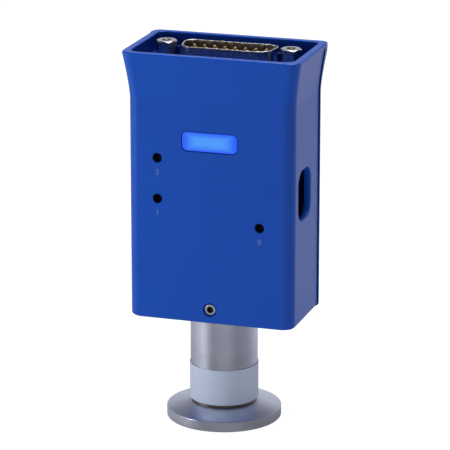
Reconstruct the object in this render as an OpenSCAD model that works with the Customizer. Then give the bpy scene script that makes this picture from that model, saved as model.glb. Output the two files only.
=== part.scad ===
// Pirani vacuum gauge: a turned steel sensor tube on a small flange, clamped in a moulded
// housing that flares into a hood round a 15-pin D connector. Millimetres, +Z up, front is -Y.
// The origin is the centre of the flange's sealing face.

/* [Flange and tube] */
// Diameter of the flange's rim
flange_d = 30; // [28:0.5:34]
// Thickness of the flange's rim
rim_t = 2.8; // [2:0.1:3.2]
// Angle of the clamping slope behind the rim, in degrees
slope_deg = 15; // [10:1:17]
// Diameter of the recess for the centring ring
recess_d = 17.2; // [16.8:0.1:17.4]
// Depth of the recess for the centring ring
recess_depth = 3; // [2:0.1:3.4]
// Outer diameter of the sensor tube
tube_d = 17.6; // [17.2:0.1:18.4]
// Wall of the sensor tube
tube_wall = 0.8; // [0.5:0.1:1.2]
// Depth of the groove between the flange and the tube
neck_groove = 0.15; // [0.05:0.05:0.3]
// Length of that groove
neck_groove_l = 0.8; // [0.4:0.1:1.2]
// How far the tube reaches into the housing
tube_in_case = 10; // [8:0.5:12]

/* [Label band] */
// Height of the band above the neck groove
band_lift = 0.1; // [0:0.1:1]
// Width of the band along the tube
band_w = 9.3; // [6:0.1:14]
// Thickness of the band
band_t = 0.2; // [0.1:0.05:0.4]

/* [Header and filament] */
// Thickness of the header disc
header_t = 2; // [1.5:0.1:3]
// Depth of the header disc below the tube's end
header_sink = 0.3; // [0.1:0.1:0.8]
// Pitch circle diameter of the header pins
pin_circle_d = 8; // [7:0.5:9]
// Diameter of a header pin
header_pin_d = 0.8; // [0.6:0.1:1]
// Diameter of a glass bead
bead_d = 2.4; // [2:0.1:2.8]
// Length of a header pin below the disc
pin_below = 3.3; // [2:0.1:5]
// Length of the heated wire
filament_l = 18; // [14:0.5:20]
// Diameter of the heated wire as modelled
filament_d = 0.2; // [0.1:0.05:0.4]

/* [Housing] */
// Width of the housing below the flare
case_w = 44.1; // [42:0.5:50]
// Depth of the housing beyond the tube's diameter
case_room = 7.9; // [7.4:0.1:10]
// Height of the housing
case_h = 70.3; // [68:1:84]
// Height of the housing's bottom above the sealing face
case_base = 28.4; // [24:0.5:36]
// How far the housing's middle lies behind the tube's axis
case_offset = 0.6; // [0.2:0.1:1]
// Wall of the housing
wall = 1.9; // [1.6:0.1:2.2]
// Radius of the housing's front corners
front_r = 2.75; // [2.2:0.05:4]
// Radius of the housing's back corners
back_r = 2; // [1:0.1:2.2]
// Radius of the housing's bottom edge
base_r = 0.9; // [0.4:0.1:0.9]
// How far the flare stands out at the rim
flare = 1.6; // [0.8:0.1:2.4]
// Height of the flare
flare_h = 12.3; // [9:0.1:14]
// Width of the rim round the hood
rim_w = 2; // [1.4:0.1:2.4]
// Radius of the rim's outer edge
rim_r = 0.5; // [0.2:0.1:0.7]
// Depth of the hood from the rim to the shelf
hood_depth = 4.3; // [3.5:0.1:6]
// Thickness of the shelf that holds the connector
shelf_t = 1.5; // [1.2:0.1:2]
// Thickness of the rear cover from the seam to its back face
cover_t = 2.55; // [2.4:0.05:3.4]
// How far the rear cover's sides stand out past the front case
cover_proud = 0.3; // [0:0.05:0.5]

/* [Front openings] */
// Diameter of the screwdriver holes
tool_hole_d = 2.5; // [2:0.1:3]
// Thickness of the wall left round the screwdriver holes, which widen behind it
tool_hole_lip = 0.5; // [0.4:0.1:1]
// Distance of the left holes from the left side
left_hole_inset = 8.05; // [7.6:0.05:9]
// Distance of the right hole from the right side
right_hole_inset = 8.8; // [8.2:0.05:9.5]
// Distance of the upper left hole below the rim
upper_hole_drop = 27.25; // [26.5:0.25:28]
// Distance of the lower left hole below the rim
lower_hole_drop = 38; // [37:0.25:39]
// Distance of the right hole below the rim
zero_hole_drop = 43.55; // [43:0.25:44]
// Distance of the light window's ends from the housing's sides
window_inset = 14.6; // [14:0.1:16]
// Height of the light window
window_h = 5.1; // [4:0.1:6]
// Corner radius of the light window
window_r = 1.4; // [0.6:0.1:1.8]
// Distance of the window's middle below the rim
window_drop = 22.25; // [21.5:0.25:23]

/* [Side opening] */
// Width of the opening in the right side
slot_w = 10.7; // [8:0.1:12]
// Height of that opening
slot_h = 13; // [11:0.1:15]
// Corner radius of that opening
slot_r = 3.6; // [2:0.1:3.9]
// Distance of its middle below the rim
slot_drop = 36.5; // [35:0.5:38]
// Distance of its middle in front of the tube's axis
slot_forward = 1.55; // [1:0.05:2]

/* [Clamp screw] */
// Thread diameter of the set screw
set_screw_d = 3; // [2.5:0.1:3]
// Height of the set screw above the housing's bottom
set_screw_rise = 3.75; // [3.4:0.05:5]
// Width across flats of its socket
set_socket_af = 1.5; // [1.3:0.1:1.6]
// Diameter of the mouth round the set screw
set_mouth_d = 3.7; // [3.4:0.1:3.8]
// Wall of the socket that holds the tube
socket_wall = 1.5; // [1.3:0.1:1.6]

/* [Connector] */
// Distance of the connector's middle from the housing's back face
plug_inset = 9.78; // [9.6:0.01:10]
// Distance of the jack posts' axes from the housing's sides
jack_inset = 5.4; // [5.3:0.05:6]
// Distance from a jack post's axis to the inside of the shell
jack_to_shell = 4.025; // [4:0.005:4.1]
// Inner depth of the shell
shell_d = 8.36; // [8.2:0.02:8.5]
// Lean of the shell's short sides, in degrees
shell_lean = 10; // [8:1:12]
// Thickness of the shell's sheet
shell_t = 0.45; // [0.35:0.05:0.5]
// Distance of the shell's edge below the rim
shell_drop = 0.45; // [0.2:0.05:0.8]
// Distance of the long row's last contact from the inside of the shell
contact_margin = 2.965; // [2.9:0.005:3]
// Distance between the two rows
row_gap = 2.84; // [2.8:0.02:2.88]
// Diameter of a contact pin
contact_d = 1.02; // [0.9:0.02:1.1]
// Distance of the contact tips below the shell's edge
contact_drop = 0.5; // [0.3:0.1:1]
// Width across flats of a jack post
jack_af = 5; // [4.5:0.1:5.2]
// Distance of the jack posts' ends above the rim
jack_rise = 0; // [0:0.1:0.5]
// Diameter of the thread in a jack post
jack_thread_d = 2.6; // [2.5:0.1:2.8]
// Distance of a locating peg from the jack post beside it
jack_to_peg = 3.3; // [3.25:0.05:3.35]
// Diameter of a locating peg
peg_d = 0.9; // [0.7:0.1:0.9]
// Distance of the pegs' ends below the rim
peg_drop = 1.4; // [0.8:0.1:2]

/* [Boards] */
// Thickness of the front and main boards
board_t = 1.6; // [1.4:0.1:1.8]
// Room between the boards' edges and the side walls
board_room = 1.65; // [1.4:0.05:2]
// Length of the posts from the front wall to the front board
post_l = 5.45; // [5.2:0.05:5.6]
// Side of a trimmer's square body
trimmer_w = 6.6; // [6:0.1:6.8]
// Diameter of a trimmer's rotor
rotor_d = 3; // [2.6:0.1:3.4]
// Length of a trimmer's rotor
rotor_l = 1.5; // [1.2:0.1:2]

/* [Hidden] */
// Clearance between curved faces of pieces that don't turn
seat_gap = 0.05;
// Clearance of a rotor in its pocket
turn_gap = 0.05;
// Overrun of every cut past the face it goes through
over = 0.5;
// Overlap of two shapes of one piece
bond = 0.3;
$fn = 64;

tube_r = tube_d / 2;
tube_in_r = tube_r - tube_wall;
neck_r = tube_r - neck_groove;
slope_h = (flange_d / 2 - neck_r) * tan(slope_deg);
neck_z = rim_t + slope_h;
tube_z = neck_z + neck_groove_l;
tube_top = case_base + tube_in_case;
band_z = tube_z + band_lift;
flange_edge_r = 0.2;

header_top = tube_top - header_sink;
header_z = header_top - header_t;
pin_bottom = header_z - pin_below;
header_pin_r = header_pin_d / 2;
pin_circle_r = pin_circle_d / 2;
pin_angles = [45, 135, 225, 315];
long_post_angle = 45;
short_post_angle = 225;
arm_d = 0.6;
short_post_l = 1.5;
filament_top = pin_bottom - short_post_l;
filament_bottom = filament_top - filament_l;

case_top = case_base + case_h;
case_d = tube_d + case_room;
case_front = case_offset - case_d / 2;
case_back = case_offset + case_d / 2;
plug_offset = case_back - plug_inset;
front_in = case_front + wall;
back_in = case_back - wall;
side_in = case_w / 2 - wall;
seam_y = case_back - cover_t;
shelf_top = case_top - hood_depth;
shelf_under = shelf_top - shelf_t;
floor_z = case_base + wall;
inner_r = front_r - wall;
flare_z = case_top - flare_h;
flare_power = 1.35;
flare_steps = 10;
round_steps = 4;
hood_inset = rim_w - flare;
hood_front_r = front_r - hood_inset;
hood_back_r = back_r - hood_inset;

socket_r = tube_r + seat_gap + socket_wall;
set_screw_z = case_base + set_screw_rise;
set_screw_r = set_screw_d / 2;
set_screw_tip = -(tube_r + seat_gap);
set_screw_sink = 0.25;
set_mouth_depth = 0.4;
set_socket_depth = 1.6;
set_point_l = 0.3;

left_hole_x = left_hole_inset - case_w / 2;
right_hole_x = case_w / 2 - right_hole_inset;
upper_hole_z = case_top - upper_hole_drop;
lower_hole_z = case_top - lower_hole_drop;
zero_hole_z = case_top - zero_hole_drop;
tool_relief_r = 2.1;
tool_holes = [[left_hole_x, upper_hole_z], [left_hole_x, lower_hole_z], [right_hole_x, zero_hole_z]];
window_w = case_w - 2 * window_inset;
window_z = case_top - window_drop;
window_gap = 0.05;
window_lip = 1.2;
window_lip_t = 0.9;
frame_wall = 1;
slot_z = case_top - slot_drop;

board_half_w = side_in - board_room;
front_board_y = front_in + post_l;
front_board_back = front_board_y + board_t;
main_board_y = plug_offset - board_t / 2;
main_board_back = main_board_y + board_t;
board_top_drop = 12.1;
board_top = case_top - board_top_drop;
front_board_low_drop = 52.3;
front_board_low = case_top - front_board_low_drop;
tongue_shoulder = 4;
tongue_half_w = board_half_w - tongue_shoulder;
tongue_rise = 1.4;
post_inset = 5.85;
post_x = case_w / 2 - post_inset;
post_top_drop = 2.6;
post_low_rise = 2.4;
post_zs = [front_board_low + post_low_rise, board_top - post_top_drop];
post_r = 2.4;
spacer_af = 4.4;
board_stud_r = 1.1;
board_hole_r = 1.3;
board_stud_l = 4.4;
board_screw_l = 5;
board_head_r = 2;
board_head_t = 1.4;
drive_w = 0.5;
drive_depth = 0.7;

cover_screw_inset = 3.65;
cover_screw_rise = 5.8;
cover_screw_x = case_w / 2 - cover_screw_inset;
cover_screw_z = case_base + cover_screw_rise;
cover_boss_r = 2.2;
cover_screw_r = 1.1;
cover_head_r = 2.1;
cover_head_t = 1;
cover_screw_l = 9;
lip_t = 1;
lip_l = 2.6;
lip_gap = 0.1;
lip_low_rise = 12;
lip_top_drop = 3;
top_lip_l = 0.8;
top_lip_trim = 2.4;

jack_pitch = case_w - 2 * jack_inset;
shell_w = jack_pitch - 2 * jack_to_shell;
peg_pitch = jack_pitch - 2 * jack_to_peg;
shell_edge = case_top - shell_drop;
shell_corner_r = 2.6;
ear_reach = 2.9;
ear_w = jack_pitch + 2 * ear_reach;
ear_d = 12.5;
ear_t = 0.5;
ear_r = 1;
ear_hole_r = 1.6;
shell_z = shelf_under - ear_t;
back_shell_z = shell_z - ear_t;
back_shell_l = 3.3;
back_shell_inset = 0.6;
insulator_rise = 0.9;
insulator_top = shelf_top - insulator_rise;
insulator_low = back_shell_z - back_shell_l - ear_t;
insulator_gap = 0.06;
panel_gap = 0.25;
contact_r = contact_d / 2;
contact_top = shell_edge - contact_drop;
tail_l = 2.6;
tail_r = 0.5;
long_row_count = 8;
short_row_count = 7;
contact_pitch = (shell_w - 2 * contact_margin) / (long_row_count - 1);
contact_spots = concat(
    [for (i = [0 : long_row_count - 1])
        [(i - (long_row_count - 1) / 2) * contact_pitch, plug_offset + row_gap / 2]],
    [for (i = [0 : short_row_count - 1])
        [(i - (short_row_count - 1) / 2) * contact_pitch, plug_offset - row_gap / 2]]);
jack_top = case_top + jack_rise;
jack_r = jack_af / sqrt(3);
jack_bore_r = jack_thread_d / 2;
jack_bore_gap = 0.05;
jack_bore_l = 4;
jack_stud_r = 1.45;
jack_nut_t = 2.2;
jack_chamfer = 0.35;

trimmer_depth = 4.9;
pocket_depth = rotor_l + turn_gap;
rotor_slot_w = 0.5;
rotor_slot_depth = 0.6;
trimmer_front = front_board_y - trimmer_depth;
trimmer_step = 0.6;
trimmer_collar_r = 2.6;

sensor_board_r = 8.4;
sensor_board_t = 1.2;
sensor_board_rise = 4.6;
sensor_board_z = tube_top + sensor_board_rise;
sensor_board_top = sensor_board_z + sensor_board_t;
pin_top_rise = 0.4;
pin_top = sensor_board_top + pin_top_rise;
main_board_rise = 1.3;
main_board_low = sensor_board_top + main_board_rise;
link_pitch = 2.54;
link_count = 4;
link_w = 2.5;
link_rise = 0.6;
link_z = main_board_low + link_rise;
link_y = main_board_y - link_w / 2;
link_pin_w = 0.6;
link_below = 0.7;
link_behind = 0.9;
strip_pitch = 2.54;
strip_count = 5;
strip_rows = 2;
strip_z = case_top - slot_drop;
header_strip_t = 2.5;
strip_y = main_board_y - header_strip_t;
contact_in_socket = 1.6;

chip_w = 10.3;
chip_h = 7.5;
chip_t = 2.2;
chip_stand = 0.2;
chip_leads = 8;
chip_lead_pitch = 1.27;
chip_lead_w = 0.4;
chip_lead_reach = 1.4;
chip_lead_t = 0.25;
chip_drop = 24;
can_r = 3.15;
can_l = 5.4;
can_base_w = 6.6;
can_base_t = 1.2;
can_x = -9;
can_drop = 42;
power_w = 6.6;
power_h = 6;
power_t = 2.3;
power_tab = 1.2;
power_tab_t = 0.5;
power_x = 9;
led_w = 3;
led_h = 2.4;
led_t = 1.4;
led_pitch = 4.8;
led_lens_r = 0.95;
led_lens_t = 0.25;

// Outer skin as [distance outside the plain outline, height], from the bottom edge to the rim
function skin_points() = concat(
    [for (i = [0 : round_steps]) let (a = 90 * i / round_steps)
        [base_r * (sin(a) - 1), case_base + base_r * (1 - cos(a))]],
    [for (i = [0 : flare_steps]) let (t = i / flare_steps)
        [flare * pow(t, flare_power), flare_z + t * (flare_h - rim_r)]],
    [for (i = [1 : round_steps]) let (a = 90 * i / round_steps)
        [flare - rim_r * (1 - cos(a)), case_top - rim_r * (1 - sin(a))]]);

// One side of a swept body: the skin profile run straight along Y, filled to a reach behind it
module skin_side(points, length, reach) {
    last = len(points) - 1;
    rotate([90, 0, 0])
        linear_extrude(length, center = true)
            polygon(concat([[-reach, points[0][1]]], points, [[-reach, points[last][1]]]));
}

// One corner of a swept body: the skin profile turned about the corner's centre
module skin_corner(points, r) {
    last = len(points) - 1;
    rotate_extrude()
        polygon(concat([[0, points[0][1]]], [for (p = points) [r + p[0], p[1]]], [[0, points[last][1]]]));
}

// The whole outer body: a profile swept round a rounded rectangle of a given half width
module swept_body(points, half) {
    side_l = case_d - front_r - back_r;
    side_y = (case_front + front_r + case_back - back_r) / 2;
    for (side = [0, 1])
        mirror([side, 0, 0]) {
            translate([half, side_y, 0]) skin_side(points, side_l, half);
            translate([half - front_r, case_front + front_r, 0]) skin_corner(points, front_r);
            translate([half - back_r, case_back - back_r, 0]) skin_corner(points, back_r);
        }
    translate([0, case_front, 0]) rotate(-90) skin_side(points, 2 * (half - front_r), case_d / 2);
    translate([0, case_back, 0]) rotate(90) skin_side(points, 2 * (half - back_r), case_d / 2);
}

// A rounded rectangle between two depths, with its own front and back corner radii
module rounded_plan(half_w, y_front, y_back, r_front, r_back) {
    depth = y_back - y_front;
    for (side = [-1, 1]) {
        translate([side * (half_w - r_front), y_front + r_front]) circle(r_front);
        translate([side * (half_w - r_back), y_back - r_back]) circle(r_back);
    }
    translate([r_front - half_w, y_front]) square([2 * (half_w - r_front), depth - r_back]);
    translate([r_back - half_w, y_front + r_front]) square([2 * (half_w - r_back), depth - r_front]);
    translate([-half_w, y_front + r_front]) square([2 * half_w, depth - r_front - r_back]);
}

// A plate with rounded corners in the XZ plane, from y_front backwards
module wall_plate(w, h, r, y_front, t) {
    translate([0, y_front + t, 0])
        rotate([90, 0, 0])
            linear_extrude(t)
                rounded_plan(w / 2, -h / 2, h / 2, r, r);
}

// A round bar along Y
module y_bar(r, y_from, y_to) {
    translate([0, y_to, 0]) rotate([90, 0, 0]) cylinder(r = r, h = y_to - y_from);
}

module hex_bar(af, y_from, y_to) {
    translate([0, y_to, 0]) rotate([90, 0, 0]) cylinder(r = af / sqrt(3), h = y_to - y_from, $fn = 6);
}

// The open space inside the hood, above the shelf
module hood_space() {
    translate([0, 0, shelf_top])
        linear_extrude(hood_depth + over)
            rounded_plan(case_w / 2 - hood_inset, case_front + hood_inset, case_back - hood_inset,
                hood_front_r, hood_back_r);
}

// Everything in front of the seam, or everything behind it
module before_seam() {
    reach = case_w + 2 * flare;
    translate([-reach / 2, seam_y - reach, case_base - over])
        cube([reach, reach, case_h + 2 * over]);
}

module behind_seam() {
    reach = case_w + 2 * flare;
    translate([-reach / 2, seam_y, case_base - over])
        cube([reach, reach, case_h + 2 * over]);
}

module at_posts() {
    for (x = [-post_x, post_x], z = post_zs)
        translate([x, 0, z]) children();
}

module at_cover_screws() {
    for (x = [-cover_screw_x, cover_screw_x])
        translate([x, 0, cover_screw_z]) children();
}

module at_jacks() {
    for (x = [-jack_pitch / 2, jack_pitch / 2])
        translate([x, plug_offset, 0]) children();
}

// Trapezoid with rounded corners of a D connector, grown by a distance, wide side at the back
module d_plan(grow) {
    lean = shell_d * tan(shell_lean);
    back_half = shell_w / 2 + grow;
    front_half = back_half - lean;
    r = shell_corner_r + grow;
    y_half = shell_d / 2 + grow;
    tuck = r * (1 - tan(shell_lean)) / cos(shell_lean) + r * tan(shell_lean);
    back_x = back_half - tuck;
    front_x = front_half - tuck + lean * (r / (shell_d + 2 * grow));
    for (side = [-1, 1]) {
        translate([side * back_x, y_half - r]) circle(r);
        translate([side * front_x, r - y_half]) circle(r);
    }
    reach_back = [back_x + r * cos(shell_lean), y_half - r - r * sin(shell_lean)];
    reach_front = [front_x + r * cos(shell_lean), r - y_half - r * sin(shell_lean)];
    polygon([[-back_x, y_half], [back_x, y_half], reach_back, reach_front, [front_x, -y_half],
        [-front_x, -y_half], [-reach_front[0], reach_front[1]], [-reach_back[0], reach_back[1]]]);
}

module sensor_body() {
    color("silver")
        difference() {
            rotate_extrude($fn = 96)
                polygon([
                    [0, 0],
                    [flange_d / 2 - flange_edge_r, 0],
                    [flange_d / 2, flange_edge_r],
                    [flange_d / 2, rim_t - flange_edge_r],
                    [flange_d / 2 - flange_edge_r, rim_t + flange_edge_r * tan(slope_deg)],
                    [neck_r, neck_z],
                    [neck_r, tube_z],
                    [tube_r, tube_z],
                    [tube_r, tube_top],
                    [0, tube_top]]);
            translate([0, 0, -over]) cylinder(d = recess_d, h = recess_depth + over, $fn = 96);
            translate([0, 0, -over]) cylinder(r = tube_in_r, h = tube_top + 2 * over, $fn = 96);
        }
}

module at_header_pins() {
    for (a = pin_angles)
        rotate(a) translate([pin_circle_r, 0, 0]) children();
}

module header_disc() {
    color("gainsboro")
        difference() {
            translate([0, 0, header_z]) cylinder(r = tube_in_r - seat_gap, h = header_t);
            at_header_pins() translate([0, 0, header_z - over])
                cylinder(d = bead_d, h = header_t + 2 * over, $fn = 32);
        }
}

module glass_beads() {
    color("darkseagreen")
        at_header_pins() translate([0, 0, header_z])
            difference() {
                cylinder(r = bead_d / 2 - seat_gap, h = header_t, $fn = 32);
                translate([0, 0, -over])
                    cylinder(r = header_pin_r + seat_gap, h = header_t + 2 * over, $fn = 24);
            }
}

module header_pins() {
    color("goldenrod")
        at_header_pins() translate([0, 0, pin_bottom])
            cylinder(r = header_pin_r, h = pin_top - pin_bottom, $fn = 24);
}

// Posts welded under two of the pins, each with an arm that reaches the tube's axis
module filament_supports() {
    color("gray") {
        rotate(short_post_angle) support_post(filament_top);
        rotate(long_post_angle) support_post(filament_bottom - arm_d);
    }
}

module support_post(arm_z) {
    translate([pin_circle_r, 0, arm_z])
        cylinder(r = header_pin_r, h = pin_bottom - arm_z, $fn = 24);
    translate([-arm_d / 2, -arm_d / 2, arm_z])
        cube([pin_circle_r + arm_d / 2, arm_d, arm_d]);
}

module filament() {
    color("dimgray")
        translate([0, 0, filament_bottom]) cylinder(d = filament_d, h = filament_l, $fn = 16);
}

module label_band() {
    color("lightsteelblue")
        translate([0, 0, band_z])
            difference() {
                cylinder(r = tube_r + band_t, h = band_w, $fn = 96);
                translate([0, 0, -over])
                    cylinder(r = tube_r + seat_gap / 2, h = band_w + 2 * over, $fn = 96);
            }
}

module front_case() {
    color("royalblue")
        difference() {
            union() {
                case_shell();
                tube_socket();
                at_posts() y_bar(post_r, front_in - bond, front_board_y);
                at_cover_screws() y_bar(cover_boss_r, front_in - bond, seam_y);
                at_pegs() cylinder(d = peg_d, h = case_top - peg_drop - shelf_top + bond, $fn = 24);
            }
            for (spot = tool_holes)
                translate([spot[0], 0, spot[1]]) tool_hole();
            translate([0, 0, window_z])
                wall_plate(window_w, window_h, window_r, case_front - over, wall + 2 * over);
            translate([0, -slot_forward, slot_z])
                rotate([90, 0, 90])
                    linear_extrude(case_w)
                        rounded_plan(slot_w / 2, -slot_h / 2, slot_h / 2, slot_r, slot_r);
            translate([0, 0, case_base - over])
                cylinder(r = tube_r + seat_gap, h = tube_in_case + 2 * over, $fn = 96);
            translate([0, 0, set_screw_z]) {
                y_bar(set_screw_r + seat_gap, case_front - over, 0);
                y_bar(set_mouth_d / 2, case_front - over, case_front + set_mouth_depth);
            }
            at_posts() y_bar(board_stud_r + seat_gap, front_board_y - board_stud_l, front_board_y + over);
            at_cover_screws() y_bar(cover_screw_r + seat_gap, back_in - cover_screw_l, seam_y + over);
        }
}

// Screwdriver hole, widened towards the inside so that the trimmer is easy to find
module tool_hole() {
    y_bar(tool_hole_d / 2, case_front - over, front_in + over);
    translate([0, front_in, 0])
        rotate([90, 0, 0])
            cylinder(r1 = tool_relief_r, r2 = tool_hole_d / 2, h = wall - tool_hole_lip);
    y_bar(tool_relief_r, front_in - bond, front_in + over);
}

module case_shell() {
    difference() {
        intersection() {
            swept_body(skin_points(), case_w / 2);
            before_seam();
        }
        translate([0, 0, floor_z])
            linear_extrude(shelf_under - floor_z)
                rounded_plan(side_in, front_in, seam_y + wall, inner_r, inner_r);
        hood_space();
        translate([0, plug_offset, shelf_under - over])
            linear_extrude(shelf_t + 2 * over) d_plan(shell_t + panel_gap);
        at_jacks() translate([0, 0, shelf_under - over])
            cylinder(r = ear_hole_r, h = shelf_t + 2 * over, $fn = 32);
    }
}

// Ring inside the housing's bottom that holds the tube, tied to the front wall by a block for the set screw
module tube_socket() {
    block_w = 2 * set_mouth_d;
    translate([0, 0, floor_z - bond]) cylinder(r = socket_r, h = tube_top - floor_z, $fn = 96);
    translate([-block_w / 2, front_in - bond, floor_z - bond])
        cube([block_w, -front_in, tube_top - floor_z]);
}

module at_pegs() {
    for (x = [-peg_pitch / 2, peg_pitch / 2])
        translate([x, plug_offset, shelf_top - bond]) children();
}

module rear_cover() {
    color("mediumblue")
        difference() {
            union() {
                cover_shell();
                side_lips();
                top_lip();
                at_cover_screws() y_bar(cover_boss_r, seam_y, back_in + bond);
            }
            at_cover_screws() {
                y_bar(cover_screw_r + seat_gap, seam_y - over, case_back + over);
                screw_cone(cover_screw_r + seat_gap, cover_head_r + seat_gap);
                y_bar(cover_head_r + seat_gap, case_back, case_back + wall);
            }
        }
}

module cover_shell() {
    difference() {
        intersection() {
            swept_body(skin_points(), case_w / 2 + cover_proud);
            behind_seam();
        }
        translate([-side_in, seam_y - over, floor_z])
            cube([2 * side_in, back_in - seam_y + over, shelf_under - floor_z]);
        hood_space();
    }
}

// Strips that reach past the seam inside the front case and keep the two shells in line
module side_lips() {
    low = floor_z + lip_low_rise;
    high = shelf_under - lip_top_drop;
    for (side = [0, 1])
        mirror([side, 0, 0])
            translate([side_in - lip_gap - lip_t, back_in - lip_l, low])
                cube([lip_t, lip_l + bond, high - low]);
}

module top_lip() {
    half = side_in - top_lip_trim;
    low = shelf_under - lip_gap - lip_t;
    translate([-half, seam_y - top_lip_l, low])
        cube([2 * half, back_in - seam_y + top_lip_l + bond, lip_t]);
}

// Cone under a countersunk head, with its wide end flush with the cover's back face
module screw_cone(r_small, r_big) {
    translate([0, case_back, 0])
        rotate([90, 0, 0])
            cylinder(r1 = r_big, r2 = r_small, h = cover_head_t);
}

module cover_screws() {
    color("darkgray")
        at_cover_screws()
            difference() {
                union() {
                    y_bar(cover_screw_r, back_in - cover_screw_l + seat_gap, case_back);
                    screw_cone(cover_screw_r, cover_head_r);
                }
                cross_drive(case_back);
            }
}

// Cross-shaped drive cut into a head whose face is at y_face, looking towards -Y
module cross_drive(y_face) {
    reach = 4 * drive_w;
    for (turn = [0, 90])
        rotate([0, turn, 0])
            translate([-reach / 2, y_face - drive_depth, -drive_w / 2])
                cube([reach, drive_depth + over, drive_w]);
}

module set_screw() {
    face = case_front + set_screw_sink;
    color("dimgray")
        translate([0, 0, set_screw_z])
            difference() {
                union() {
                    y_bar(set_screw_r, face, set_screw_tip - set_point_l);
                    y_bar(set_screw_r - set_point_l, face, set_screw_tip);
                }
                hex_bar(set_socket_af, face - over, face + set_socket_depth);
            }
}

module light_window() {
    flange_w = window_w + 2 * window_lip;
    flange_h = window_h + 2 * window_lip;
    color("dodgerblue")
        translate([0, 0, window_z]) {
            wall_plate(window_w - 2 * window_gap, window_h - 2 * window_gap, window_r - window_gap,
                case_front, wall);
            wall_plate(flange_w, flange_h, window_r, front_in, window_lip_t);
        }
}

module light_frame() {
    frame_y = front_in + window_lip_t;
    outer_w = window_w + 2 * window_lip;
    outer_h = window_h + 2 * window_lip;
    color("white")
        translate([0, 0, window_z])
            difference() {
                wall_plate(outer_w, outer_h, window_r, frame_y, front_board_y - frame_y);
                wall_plate(outer_w - 2 * frame_wall, outer_h - 2 * frame_wall, window_r,
                    frame_y - over, front_board_y - frame_y + 2 * over);
            }
}

module status_leds() {
    color("ivory")
        for (i = [-1, 0, 1])
            translate([i * led_pitch, 0, window_z]) {
                translate([-led_w / 2, front_board_y - led_t, -led_h / 2]) cube([led_w, led_t, led_h]);
                y_bar(led_lens_r, front_board_y - led_t - led_lens_t, front_board_y - led_t + bond);
            }
}

module front_board() {
    color("darkgreen")
        difference() {
            translate([-board_half_w, front_board_y, front_board_low])
                cube([2 * board_half_w, board_t, board_top - front_board_low]);
            at_posts() y_bar(board_hole_r, front_board_y - over, front_board_back + over);
        }
}

// Main board with a tongue that goes up between the connector's two rows of tails
module main_board() {
    tongue_top = board_top + tongue_rise;
    color("green")
        difference() {
            union() {
                translate([-board_half_w, main_board_y, main_board_low])
                    cube([2 * board_half_w, board_t, board_top - main_board_low]);
                translate([-tongue_half_w, main_board_y, board_top - bond])
                    cube([2 * tongue_half_w, board_t, tongue_top - board_top + bond]);
            }
            at_posts() y_bar(board_hole_r, main_board_y - over, main_board_back + over);
            at_strip_contacts() y_pin(link_pin_w, main_board_y - over, main_board_back + over);
            at_link_pins() translate([0, 0, link_z + link_w / 2])
                y_pin(link_pin_w, main_board_y - over, main_board_back + over);
        }
}

module sensor_board() {
    color("forestgreen")
        difference() {
            translate([0, 0, sensor_board_z]) cylinder(r = sensor_board_r, h = sensor_board_t);
            at_header_pins() translate([0, 0, sensor_board_z - over])
                cylinder(r = header_pin_r + seat_gap, h = sensor_board_t + 2 * over, $fn = 24);
            at_link_pins()
                translate([-link_pin_w / 2, link_y - link_pin_w / 2, sensor_board_z - over])
                    cube([link_pin_w, link_pin_w, sensor_board_t + 2 * over]);
        }
}

// Hexagonal spacers between the two boards, each with a stud into a post of the front case
module standoffs() {
    color("goldenrod")
        at_posts()
            difference() {
                union() {
                    hex_bar(spacer_af, front_board_back, main_board_y);
                    y_bar(board_stud_r, front_board_y - board_stud_l + seat_gap, front_board_back + bond);
                }
                y_bar(board_stud_r + seat_gap, main_board_y + board_t - board_screw_l, main_board_y + over);
            }
}

module board_screws() {
    color("lightgray")
        at_posts()
            difference() {
                union() {
                    y_bar(board_stud_r, main_board_back - board_screw_l + seat_gap, main_board_back + bond);
                    y_bar(board_head_r, main_board_back, main_board_back + board_head_t);
                }
                cross_drive(main_board_back + board_head_t);
            }
}

// A square pin along Y, centred on the Y axis
module y_pin(w, y_from, y_to) {
    translate([-w / 2, y_from, -w / 2]) cube([w, y_to - y_from, w]);
}

module at_strip_contacts() {
    for (i = [0 : strip_count - 1], k = [0 : strip_rows - 1])
        translate([(i - (strip_count - 1) / 2) * strip_pitch, 0,
            strip_z + (k - (strip_rows - 1) / 2) * strip_pitch]) children();
}

module strip_block(y_from, y_to) {
    w = strip_count * strip_pitch;
    h = strip_rows * strip_pitch;
    difference() {
        translate([-w / 2, y_from, strip_z - h / 2]) cube([w, y_to - y_from, h]);
        at_strip_contacts() y_pin(link_pin_w, strip_y - contact_in_socket, y_to + over);
    }
}

module board_socket() {
    color("black") strip_block(front_board_back, strip_y);
}

module board_header() {
    color("black") strip_block(strip_y, main_board_y);
}

module board_contacts() {
    color("gold")
        at_strip_contacts() y_pin(link_pin_w, strip_y - contact_in_socket, main_board_back + link_behind);
}

module at_link_pins() {
    for (i = [0 : link_count - 1])
        translate([(i - (link_count - 1) / 2) * link_pitch, 0, 0]) children();
}

module link_strip() {
    w = link_count * link_pitch;
    color("black")
        difference() {
            translate([-w / 2, main_board_y - link_w, link_z]) cube([w, link_w, link_w]);
            at_link_pins() link_pin();
        }
}

module link_pins() {
    color("gold") at_link_pins() link_pin();
}

// Square pin that rises from the sensor board and turns back through the main board
module link_pin() {
    low = sensor_board_z - link_below;
    high = link_z + link_w / 2 + link_pin_w / 2;
    translate([-link_pin_w / 2, link_y - link_pin_w / 2, low])
        cube([link_pin_w, link_pin_w, high - low]);
    translate([0, 0, link_z + link_w / 2])
        y_pin(link_pin_w, link_y - link_pin_w / 2, main_board_back + link_behind);
}

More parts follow.
